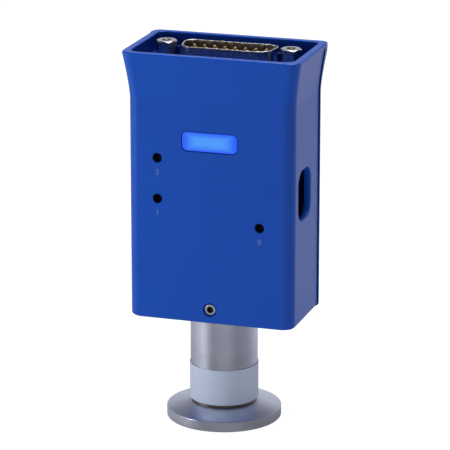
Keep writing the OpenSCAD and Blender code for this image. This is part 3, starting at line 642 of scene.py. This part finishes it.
def cutAtSeam(piece, h, keepFront):
    y = h["seam"] + (-h["seamGap"] if keepFront else h["seamGap"]) / 2
    editPiece(piece)
    bpy.ops.mesh.select_all(action="SELECT")
    bpy.ops.mesh.bisect(plane_co=(0, y * mm, 0), plane_no=(0, 1, 0), use_fill=True,
                        clear_outer=keepFront, clear_inner=not keepFront, threshold=0.0001 * mm)
    leaveEdit()
    # the long outer edges of the cut are eased, those of the sides and the bottom
    bevelEdges(piece, lambda p: allAt(p, "Y", y) and (p[0] - p[1]).length > 5
               and (abs(p[0].x - p[1].x) < touch or abs(p[0].z - h["low"]) < touch), h["seamEdge"])
    cleanNormals(piece)


def slabTool(name, low, high, cornerR=0, axis="Y", steps=10):
    # a box between two corners in mm, its edges along one axis rounded
    deselectAll()
    bpy.ops.mesh.primitive_cube_add(size=1, location=(0, 0, 0))
    piece = bpy.context.object
    piece.name = name
    piece.data.transform(Matrix.Diagonal((*[(b - a) * mm for a, b in zip(low, high)], 1)))
    shiftPiece(piece, *[(a + b) / 2 for a, b in zip(low, high)])
    if cornerR:
        index = "XYZ".index(axis)
        bevelEdges(piece, lambda p: abs(p[0][index] - p[1][index]) > 0.01, cornerR, steps)
    return piece


def barTool(name, radius, yFrom, yTo, x, z, mouth=0, sides=48):
    # a round bar along Y; mouth opens the wall's front, where the bar starts, by a small chamfer
    length = yTo - yFrom
    profile = [(radius, 0), (radius, length)]
    if mouth:
        profile[1:] = [(radius, length - past - mouth), (radius + mouth + past, length)]
    piece = lathe(name, profile, sides)
    turnToFront(piece, x, z, yTo)
    return piece


def postTool(name, radius, zFrom, zTo, x, y, sides=48):
    piece = lathe(name, [(radius, zFrom), (radius, zTo)], sides)
    shiftPiece(piece, x, y)
    return piece


inside = {
    "cavityR": 0.85, "toolHoles": ((-14.0, 71.45), (-14.0, 60.7), (13.25, 55.15)), "toolHoleR": 1.25,
    "holeMouth": 0.12, "reliefR": 2.1, "holeLip": 0.5,
    "window": (-7.45, 7.45, 73.9, 79.0), "windowR": 1.5, "windowGap": 0.14,
    "slot": (-6.9, 3.8, 55.7, 68.7), "slotR": 3.6, "slotEdges": (0.3, 0.5),  # edges inside and outside
    "screwZ": 32.15, "screwR": 1.55, "screwEnd": -7, "screwMouthR": 1.85, "mouthDepth": 0.8, "blockHalfW": 3.7,
    "tubeR": 8.85, "socketR": 10.35, "socketTop": 38.4,
    "posts": [(x, z) for x in (-16.2, 16.2) for z in (48.8, 84.0)], "postR": 2.4, "postEnd": -4.8,
    "studR": 1.15, "studDepth": 4.4,
    "coverScrews": ((-18.4, 34.2), (18.4, 34.2)), "bossR": 2.2, "screwHoleR": 1.15, "pilotFrom": 2.4,
    "headR": 2.15, "sinkDepth": 1.0, "pegs": (-13.35, 13.35), "pegR": 0.45, "pegTop": 97.3, "pegTip": 0.18,
    "plugY": 3.57, "jacks": (-16.65, 16.65), "jackHoleR": 1.6,
}


plugShape = {
    "width": 25.25, "depth": 8.36, "lean": 10, "cornerR": 2.6, "sheet": 0.45, "sheetEdge": 0.16, "edge": 98.25,
    "low": 92.4, "panelGap": 0.25, "earW": 39.1, "earD": 12.5, "earT": 0.5, "earR": 1.0, "pitch": 2.76,
    "rows": ((8, 1), (7, -1)),  # contacts in a row and its side, the wide side at the back
    "rowGap": 2.84, "pinR": 0.51, "pinTop": 97.75, "tipLength": 0.55, "tipTurns": (0, 20, 40, 60, 76),
    "straightEnd": 1.2, "tailR": 0.5, "tailLength": 2.6, "insulatorTop": 93.5, "insulatorLow": 88.1,
    "insulatorGap": 0.66, "insulatorEdge": 0.2, "pinGap": 0.05, "sinkDepth": 0.3,
}


def dOutline(name, zFrom, zTo, grow, plug, y=inside["plugY"]):
    # the D of the connector, wide side at the back, as a closed block
    deselectAll()
    bpy.ops.mesh.primitive_cube_add(size=1, location=(0, 0, 0))
    piece = bpy.context.object
    piece.name = name
    halfD = plug["depth"] / 2 + grow
    backHalf = plug["width"] / 2 + grow
    frontHalf = backHalf - plug["depth"] * math.tan(math.radians(plug["lean"]))
    for vertex in piece.data.vertices:
        half = backHalf if vertex.co.y > 0 else frontHalf
        vertex.co = Vector((math.copysign(half, vertex.co.x), y + math.copysign(halfD, vertex.co.y),
                            zTo if vertex.co.z > 0 else zFrom)) * mm
    bevelEdges(piece, lambda p: abs(p[0].z - p[1].z) > 0.01, plug["cornerR"] + grow, 12)
    return piece


def pegTool(s, x, shelfTop):
    r, top, tip = s["pegR"], s["pegTop"], s["pegTip"]
    piece = lathe("peg", [(r, shelfTop - sunk), (r, top - tip), (r - tip, top)], 24)
    shiftPiece(piece, x, s["plugY"])
    return piece


def reliefTool(h, s, x, z):
    # a cone that thins the wall behind a front hole
    profile = [(s["reliefR"], -h["frontIn"] - past), (s["reliefR"], -h["frontIn"]),
               (s["toolHoleR"], -h["front"] - s["holeLip"])]
    piece = lathe("relief", profile, 48)
    turnToFront(piece, x, z)
    return piece


def makeFrontCase(h, s, plug):
    front, low, seam, floor = h["front"], h["low"], h["seam"], h["floor"]
    frontIn, sideIn, shelfTop, shelfUnder = h["frontIn"], h["sideIn"], h["shelfTop"], h["shelfUnder"]
    start, screwZ, blockHalf, socketTop = frontIn - sunk, s["screwZ"], s["blockHalfW"], s["socketTop"]
    case = pullRings("frontCase", skinRings(h, 0), h)
    cutAtSeam(case, h, True)
    combine(case, [slabTool("cavity", (-sideIn, frontIn, floor), (sideIn, seam + 2, shelfUnder),
                            s["cavityR"], "Z")], "DIFFERENCE")

    adds = [postTool("socket", s["socketR"], floor - sunk, socketTop, 0, 0, 96),
            slabTool("screwBlock", (-blockHalf, start, floor - sunk), (blockHalf, 0, socketTop - 0.01))]
    adds += [barTool("post", s["postR"], start, s["postEnd"], x, z) for x, z in s["posts"]]
    adds += [barTool("boss", s["bossR"], start, seam - 0.1, x, z) for x, z in s["coverScrews"]]
    adds += [pegTool(s, x, shelfTop) for x in s["pegs"]]
    combine(case, adds, "UNION")

    studFrom = s["postEnd"] - s["studDepth"]
    cuts = [barTool("stud", s["studR"], studFrom, s["postEnd"] + past, x, z) for x, z in s["posts"]]
    cuts += [barTool("pilot", s["screwHoleR"], s["pilotFrom"], seam + past, x, z) for x, z in s["coverScrews"]]
    for x, z in s["toolHoles"]:
        cuts.append(barTool("toolHole", s["toolHoleR"], front - past, frontIn + past, x, z, s["holeMouth"]))
        cuts.append(reliefTool(h, s, x, z))
    left, right, windowLow, windowHigh = s["window"]
    gap = s["windowGap"]
    cuts.append(slabTool("windowHole", (left - gap, front - past, windowLow - gap),
                         (right + gap, frontIn + past, windowHigh + gap), s["windowR"] + gap))
    near, far, slotLow, slotHigh = s["slot"]
    cuts.append(slabTool("slot", (sideIn - 1, near, slotLow), (h["halfW"] + 1, far, slotHigh), s["slotR"], "X", 14))
    cuts.append(postTool("tubeHole", s["tubeR"], low - past, socketTop + past, 0, 0, 96))
    cuts.append(barTool("screwHole", s["screwR"], front - past, s["screwEnd"], 0, screwZ))
    cuts.append(barTool("screwMouth", s["screwMouthR"], front - past - 0.1, front + s["mouthDepth"], 0, screwZ))
    cuts.append(dOutline("plugHole", shelfUnder - past, shelfTop + past, plug["sheet"] + plug["panelGap"], plug))
    cuts += [postTool("jackHole", s["jackHoleR"], shelfUnder - past, shelfTop + past, x, s["plugY"])
             for x in s["jacks"]]
    combine(case, cuts, "DIFFERENCE")

    for x, edge in zip((sideIn, h["halfW"]), s["slotEdges"]):
        bevelEdges(case, lambda p: all(abs(q.x - x) < 0.01 and near - 0.1 < q.y < far + 0.1
                                       and slotLow - 0.1 < q.z < slotHigh + 0.1 for q in p), edge)
    shadeByAngle(case)
    dress(case, "caseBlue", "front_case")


# lips of the cover that reach behind the front case, each with its gap to the wall beside it
lipShape = {"gap": 0.1, "thick": 1.0, "reach": 0.8, "topInset": 2.4, "sideMiddle": 0.6, "sideHalfT": 0.5,
            "sideDepth": 2.6, "aboveFloor": 12, "belowShelf": 3}


def makeRearCover(h, s, lip):
    seam, back, floor, shelfUnder = h["seam"], h["back"], h["floor"], h["shelfUnder"]
    sideIn, backIn = h["sideIn"], h["backIn"]
    cover = pullRings("rearCover", skinRings(h, h["proud"]), h)
    cutAtSeam(cover, h, False)
    combine(cover, [slabTool("cavity", (-sideIn, seam - 1, floor), (sideIn, backIn, shelfUnder))], "DIFFERENCE")

    halfW, lipTop = sideIn - lip["topInset"], shelfUnder - lip["gap"]
    adds = [slabTool("topLip", (-halfW, seam - lip["reach"], lipTop - lip["thick"]), (halfW, backIn + sunk, lipTop))]
    for side in (-1, 1):
        x = side * (sideIn - lip["sideMiddle"])
        adds.append(slabTool("sideLip", (x - lip["sideHalfT"], backIn - lip["sideDepth"], floor + lip["aboveFloor"]),
                             (x + lip["sideHalfT"], backIn + sunk, shelfUnder - lip["belowShelf"])))
    adds += [barTool("pad", s["bossR"], seam, backIn + sunk, x, z) for x, z in s["coverScrews"]]
    combine(cover, adds, "UNION")

    cuts = []
    for x, z in s["coverScrews"]:
        cuts.append(barTool("screwHole", s["screwHoleR"], seam - past, back + past, x, z))
        sink = lathe("sink", [(s["headR"] + past, -past), (s["headR"], 0), (s["screwHoleR"], s["sinkDepth"])], 48)
        turnToFront(sink, x, z, back)
        cuts.append(sink)
    combine(cover, cuts, "DIFFERENCE")
    shadeByAngle(cover)
    dress(cover, "caseBlue", "rear_cover")


makeFrontCase(housing, inside, plugShape)
makeRearCover(housing, inside, lipShape)


# light window, set in its hole with a flange behind the wall

windowShape = {
    "gap": 0.05, "lip": 1.2, "lipT": 0.9, "edge": 0.24, "overlap": 0.2,
    "core": "#4b9dff", "outer": "#1a58ff", "glow": 0.9, "body": "#10204a",
    "sideFade": (0.45, 1.0), "topFade": (0.2, 1.15),  # shares of the half width and half height
    # painted shade: the rounded edge glows less, which darkens the window's outline
    "rim": "#0b2c80", "rimDepth": (0.02, 0.15),  # the rounded edge glows less
}


def litWindow(name, w, s, front):
    # diffusing blue window lit from behind: paler in the middle, deeper blue towards its edges
    material, tree = newMaterial(name)
    place = objectPlace(tree)
    left, right, low, high = s["window"]
    centre = ((left + right) / 2 * mm, 0, (low + high) / 2 * mm)
    halfSize = (((right - left) / 2 - w["gap"]) * mm, 1, ((high - low) / 2 - w["gap"]) * mm)
    centred = addNode(tree, "ShaderNodeMapping", {"vector_type": "TEXTURE"},
                      values={"Location": centre, "Scale": halfSize}, links={"Vector": place})
    parts = splitAxes(tree, centred.outputs["Vector"])
    fades = [mapRange(tree, calculate(tree, "ABSOLUTE", parts[axis]), *w[fade], smooth=True)
             for axis, fade in (("X", "sideFade"), ("Z", "topFade"))]
    glow = mixColors(tree, calculate(tree, "MAXIMUM", *fades), w["core"], w["outer"])
    # the dimmer glow at the rounded edge is painted shade round the window
    rim = mapRange(tree, splitAxes(tree, place)["Y"], *[(front + depth) * mm for depth in w["rimDepth"]])
    shader = addNode(tree, "ShaderNodeBsdfPrincipled",
                     values={"Base Color": linearColor(w["body"]), "Roughness": 0.3, "Emission Strength": w["glow"]},
                     links={"Emission Color": mixColors(tree, rim, glow, w["rim"])})
    finishMaterial(tree, shader.outputs["BSDF"])
    return material


def makeWindow(w, s, h):
    materials["window"] = litWindow("litDiffuserBlue", w, s, h["front"])
    left, right, low, high = s["window"]
    gap, lip, front, inner = w["gap"], w["lip"], h["front"], h["frontIn"]
    pane = slabTool("lightWindow", (left + gap, front, low + gap), (right - gap, inner + w["overlap"], high - gap),
                    s["windowR"] - gap)
    bevelEdges(pane, lambda p: allAt(p, "Y", front), w["edge"])
    flange = slabTool("paneFlange", (left - lip, inner, low - lip), (right + lip, inner + w["lipT"], high + lip),
                      s["windowR"])
    combine(pane, [flange], "UNION")
    shadeByAngle(pane)
    dress(pane, "window", "light_window")


makeWindow(windowShape, inside, housing)


# set screw with a hexagon socket

setScrewShape = {"r": 1.5, "face": -11.9, "tip": -8.85, "point": 0.3, "edge": 0.25, "edgeSteps": 4,
                 "socketAf": 1.5, "socketDepth": 1.6, "drillR": 0.1, "drillDepth": 0.5, "mouth": 0.12,
                 "mouthRun": 0.3, "socketShadeR": 0.86}

# zinc plated screw steel, with painted shade inside the socket
materials["screwZinc"] = platedMetal("zincPlatedSetScrew", "#dadce0", "#e6e8ec", 0.3,
                                     socket=(0, inside["screwZ"], setScrewShape["socketShadeR"], "#8e887e"))


def makeSetScrew(s, z):
    length, edge, run = s["tip"] - s["face"], s["edge"], s["mouthRun"]
    profile = [(s["r"] - s["point"], 0), (s["r"], s["point"])]
    profile += arcSteps(s["r"] - edge, length - edge, edge, 0, 90, s["edgeSteps"])
    screw = lathe("setScrew", profile, 48)
    hexR, socketEnd, mouthZ = s["socketAf"] / math.sqrt(3), length - s["socketDepth"], length - s["mouth"]
    socket = lathe("socket", [(s["drillR"], socketEnd - s["drillDepth"]), (hexR, socketEnd), (hexR, mouthZ),
                              (hexR + run, mouthZ + run)], 6)
    combine(screw, [socket], "DIFFERENCE")
    turnToFront(screw, 0, z, s["tip"])
    shadeByAngle(screw, 30)
    dress(screw, "screwZinc", "set_screw")


makeSetScrew(setScrewShape, inside["screwZ"])


# D connector

def makeConnectorShell(plug, s):
    sheet, edge, low, y = plug["sheet"], plug["edge"], plug["low"], s["plugY"]
    wall = dOutline("connectorShell", low, edge, sheet, plug)
    combine(wall, [dOutline("shellInside", low - 1, edge + 1, 0, plug)], "DIFFERENCE")
    bevelEdges(wall, lambda p: allAt(p, "Z", edge), plug["sheetEdge"])
    halfW, halfD = plug["earW"] / 2, plug["earD"] / 2
    ears = slabTool("ears", (-halfW, y - halfD, low), (halfW, y + halfD, low + plug["earT"]), plug["earR"], "Z")
    cuts = [postTool("earHole", s["jackHoleR"], low - past, low + 1, x, y, 32) for x in s["jacks"]]
    cuts.append(dOutline("earOpening", low - past, low + 1, sheet / 2, plug))
    combine(ears, cuts, "DIFFERENCE")
    combine(wall, [ears], "UNION")
    shadeByAngle(wall)
    dress(wall, "nickel", "connector_shell")


def contactSpots(plug, s):
    return [((i - (count - 1) / 2) * plug["pitch"], s["plugY"] + side * plug["rowGap"] / 2)
            for count, side in plug["rows"] for i in range(count)]


def makeInsulator(plug, s):
    low, top, sink = plug["insulatorLow"], plug["insulatorTop"], plug["sinkDepth"]
    block = dOutline("connectorInsulator", low, top, -plug["insulatorGap"], plug)
    bevelEdges(block, lambda p: allAt(p, "Z", top), plug["insulatorEdge"], 2)
    holes = []
    r = plug["pinR"] + plug["pinGap"]
    for x, y in contactSpots(plug, s):
        hole = lathe("pinHole", [(r, low - 1), (r, top - sink), (r + 2 * sink, top + sink)], 24)
        shiftPiece(hole, x, y)
        holes.append(hole)
    combine(block, holes, "DIFFERENCE")
    shadeByAngle(block)
    dress(block, "black", "connector_insulator")


def makePins(plug, s):
    r, low, top, tip = plug["pinR"], plug["insulatorLow"], plug["pinTop"], plug["tipLength"]
    profile = [(plug["tailR"], low - plug["tailLength"]), (plug["tailR"], low - 0.05), (r, low),
               (r, top - plug["straightEnd"])]
    profile += [(r * math.cos(a), top - tip + tip * math.sin(a)) for a in map(math.radians, plug["tipTurns"])]
    first = lathe("connectorPins", profile, 24)
    pins = [copyPiece(first, f"pin{i}", (x, y, 0)) for i, (x, y) in enumerate(contactSpots(plug, s))]
    bpy.data.objects.remove(first)
    pins = joinPieces(pins)
    pins.name = "connectorPins"
    shadeByAngle(pins, 40)
    dress(pins, "gold", "connector_pins")


makeConnectorShell(plugShape, inside)
makeInsulator(plugShape, inside)
makePins(plugShape, inside)

jackShape = {"af": 5.0, "low": 94.4, "top": 98.7, "boreR": 1.3, "boreDepth": 4.0, "pitch": 0.45,
             "threadDepth": 0.2, "threadEnd": 0.5, "boreMouth": 0.4, "studR": 1.45, "studLow": 89.7,
             "chamfer": 0.35, "chamferW": 0.56}


def makeJacks(j, s):
    low, top, boreR = j["low"], j["top"], j["boreR"]
    hexR, coreR = j["af"] / math.sqrt(3), boreR - j["threadDepth"]
    post = lathe("jackPosts", [(hexR, low), (hexR, top)], 6)
    post.data.transform(Matrix.Rotation(math.radians(30), 4, "Z"))
    cone = lathe("crown", [(hexR + 0.05, low - 1), (hexR + 0.05, top - j["chamfer"]),
                           (hexR - j["chamferW"], top + touch)], 64)
    combine(post, [cone], "INTERSECT")
    combine(post, [lathe("stud", [(j["studR"], j["studLow"]), (j["studR"], low + sunk)], 40)], "UNION")
    # thread cut as rings: a V every pitch down the bore
    profile = [(coreR, top - j["boreDepth"])]
    z = top - j["boreDepth"] + j["threadDepth"]
    while z < top - j["threadEnd"]:
        profile += [(coreR, z), (boreR, z + j["pitch"] / 2)]
        z += j["pitch"]
    profile += [(coreR, z), (coreR, top - sunk), (boreR + j["boreMouth"], top + sunk)]
    combine(post, [lathe("bore", profile, 40)], "DIFFERENCE")
    left, right = s["jacks"]
    twin = copyPiece(post, "jackTwin", (left, s["plugY"], 0))
    shiftPiece(post, right, s["plugY"])
    posts = joinPieces([post, twin])
    shadeByAngle(posts, 30)
    dress(posts, "nickel", "jack_posts")


makeJacks(jackShape, inside)


# numerals printed beside the holes

printShape = {"size": 2.1, "thick": 0.02, "depthShare": 0.4,
              "spots": (("2", -14.0, 67.7), ("1", -14.0, 56.95), ("0", 13.25, 51.4))}


def makeNumerals(s, h):
    for label, x, z in s["spots"]:
        deselectAll()
        bpy.ops.object.text_add(location=(0, 0, 0))
        text = bpy.context.object
        text.data.body = label
        text.data.size = s["size"] * mm
        text.data.extrude = s["thick"] / 2 * mm
        text.data.align_x = "CENTER"
        text.data.align_y = "CENTER"
        bpy.ops.object.convert(target="MESH")
        piece = bpy.context.object
        piece.name = "numeral" + label
        turnToFront(piece, x, z, h["front"] + s["thick"] * s["depthShare"])
        cleanNormals(piece)
        dress(piece, "print")


makeNumerals(printShape, housing)


# the pieces that keep their CAD form get their finishes

nodeFinishes = {
    "header_disc": "header", "glass_beads": "glass", "header_pins": "gold", "filament_supports": "header",
    "filament": "tungsten", "cover_screws": "zinc", "light_frame": "white", "status_leds": "white",
    "front_board": "board", "main_board": "board", "sensor_board": "board", "standoffs": "brass",
    "board_screws": "zinc", "board_socket": "black", "board_header": "black", "board_contacts": "gold",
    "link_strip": "black", "link_pins": "gold", "upper_trimmer": "trimmer", "lower_trimmer": "trimmer",
    "zero_trimmer": "trimmer", "upper_rotor": "rotor", "lower_rotor": "rotor", "zero_rotor": "rotor",
    "supply_capacitor": "can", "control_chip": "black", "regulator": "black", "back_shell": "nickel",
    "jack_nuts": "nickel",
}

for nodeName, finish in nodeFinishes.items():
    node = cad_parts[nodeName]
    for slot in node.material_slots:
        slot.material = materials[finish]
print("finishes set on", len(nodeFinishes), "nodes")


# studio

studio = {
    # light level by direction, as (degrees to the right of the front, level)
    "levels": ((-180, 0.68), (-110, 0.52), (-75, 0.7), (-45, 0.58), (-20, 0.3), (0, 0.43), (30, 0.45), (60, 0.3),
               (100, 0.38), (150, 0.68), (180, 0.68)),
    "tint": "#f0f3ff",
    # levels between two sines of the height, for what metal mirrors and for what matte surfaces get
    "mirroredRise": (0.2, 0.6, 1.0, 0.27), "matteRise": (0.1, 0.5, 1.28, 0.01),
    "floor": "#f4f4f4", "floorSize": 6, "floorGlow": 1.3, "floorShare": 0.75, "floorBounce": 0.8,
    # the mirrored floor is darker near the gauge: a painted shadow
    "floorMirrored": (0.04, 0.12, 0.6, 1.15),  # levels between two distances from the middle, m
    "aimHeight": 0.05,
    "lamps": {
        "key": {"azimuth": -55, "elevation": 10, "distance": 0.5, "size": 0.16, "power": 0.6},
        "top": {"azimuth": 180, "elevation": 68, "distance": 0.7, "size": 0.35, "power": 4.0, "mirroredOnly": True},
        "above": {"azimuth": 180, "elevation": 86, "distance": 0.7, "size": 0.3, "power": 4.2, "matteOnly": True},
        "fill": {"azimuth": -55, "elevation": 4, "distance": 0.18, "size": 0.08, "power": 0.1, "matteOnly": True},
        "side": {"azimuth": 60, "elevation": 5, "distance": 0.6, "size": 0.3, "power": 0.5, "matteOnly": True},
    },
}


def levelAround(tree, axes, s):
    # the light level in a direction, or at a place on the floor, by its turn round the upright axis
    turn = calculate(tree, "ARCTAN2", axes["X"], calculate(tree, "MULTIPLY", axes["Y"], -1.0))
    share = mapRange(tree, turn, -math.pi, math.pi)
    ramp = addNode(tree, "ShaderNodeValToRGB", links={"Fac": share})
    stops = ramp.color_ramp.elements
    for degrees, _ in s["levels"][1:-1]:
        stops.new((degrees + 180) / 360)
    for stop, (_, level) in zip(stops, s["levels"]):
        stop.color = (level, level, level, 1)
    return ramp.outputs["Color"]


def plainGlow(tree, color, strength):
    glow = addNode(tree, "ShaderNodeEmission", values={"Color": linearColor(color)})
    if isinstance(strength, bpy.types.NodeSocket):
        tree.links.new(strength, glow.inputs["Strength"])
    else:
        glow.inputs["Strength"].default_value = strength
    return glow.outputs["Emission"]


def mixShaders(tree, share, first, second):
    return addNode(tree, "ShaderNodeMixShader", links={0: share, 1: first, 2: second}).outputs["Shader"]


def makeFloor(s):
    deselectAll()
    bpy.ops.mesh.primitive_plane_add(size=s["floorSize"], location=(0, 0, 0))
    floor = bpy.context.object
    floor.name = "studioFloor"
    material, tree = newMaterial("paintedWhiteFloor")
    rays = addNode(tree, "ShaderNodeLightPath").outputs
    place = objectPlace(tree)
    # seen by the camera it is nearly white, mirrored it is dark near the gauge as a painted shadow, and matte parts
    # get an even glow
    paint = addNode(tree, "ShaderNodeBsdfDiffuse", values={"Color": linearColor(s["floor"])}).outputs["BSDF"]
    share = calculate(tree, "MULTIPLY", rays["Is Camera Ray"], s["floorShare"])
    seen = mixShaders(tree, share, paint, plainGlow(tree, "#ffffff", s["floorGlow"]))
    # painted shadow: the mirrored level falls towards the gauge
    outward = mapRange(tree, calculateVector(tree, "LENGTH", place, output="Value"), *s["floorMirrored"])
    level = calculate(tree, "MULTIPLY", levelAround(tree, splitAxes(tree, place), s), outward)
    mirrored = mixShaders(tree, rays["Is Glossy Ray"], seen, plainGlow(tree, s["tint"], level))
    bounce = plainGlow(tree, "#ffffff", s["floorBounce"])
    finishMaterial(tree, mixShaders(tree, rays["Is Diffuse Ray"], mirrored, bounce))
    floor.data.materials.append(material)


def addSoftbox(name, s, aimHeight):
    direction = directionAt(s["azimuth"], s["elevation"])
    data = bpy.data.lights.new(name, "AREA")
    data.shape = "SQUARE"
    data.size = s["size"]
    data.energy = s["power"]
    lamp = bpy.data.objects.new(name, data)
    lamp.location = direction * s["distance"] + Vector((0, 0, aimHeight))
    lamp.rotation_euler = direction.to_track_quat("Z", "Y").to_euler()
    lamp.visible_glossy = "matteOnly" not in s
    lamp.visible_diffuse = "mirroredOnly" not in s
    bpy.context.scene.collection.objects.link(lamp)


def mixLevels(tree, share, first, second):
    mix = addNode(tree, "ShaderNodeMix", {"data_type": "FLOAT"}, links={"Factor": share, "A": first})
    if isinstance(second, bpy.types.NodeSocket):
        tree.links.new(second, mix.inputs["B"])
    else:
        mix.inputs["B"].default_value = second
    return mix.outputs["Result"]


def makeWorld(s):
    world = bpy.data.worlds.new("studioWorld")
    bpy.context.scene.world = world
    world.use_nodes = True
    tree = world.node_tree
    tree.nodes.clear()
    rays = addNode(tree, "ShaderNodeLightPath").outputs
    axes = splitAxes(tree, addNode(tree, "ShaderNodeTexCoord").outputs["Generated"])
    around = levelAround(tree, axes, s)
    # less of what lies high up reaches matte surfaces, so the hood stays dark inside
    mirrored, matte = [calculate(tree, "MULTIPLY", around, mapRange(tree, axes["Z"], *s[rise], smooth=True))
                       for rise in ("mirroredRise", "matteRise")]
    strength = mixLevels(tree, rays["Is Camera Ray"], mixLevels(tree, rays["Is Diffuse Ray"], mirrored, matte), 1.0)
    color = mixColors(tree, rays["Is Camera Ray"], s["tint"], "#ffffff")
    sky = addNode(tree, "ShaderNodeBackground", links={"Color": color, "Strength": strength})
    addNode(tree, "ShaderNodeOutputWorld", links={"Surface": sky.outputs["Background"]})


makeFloor(studio)
makeWorld(studio)
for lampName, lampShape in studio["lamps"].items():
    addSoftbox(lampName + "Softbox", lampShape, studio["aimHeight"])
bpy.context.scene.view_settings.view_transform = "Standard"
print("studio lit")
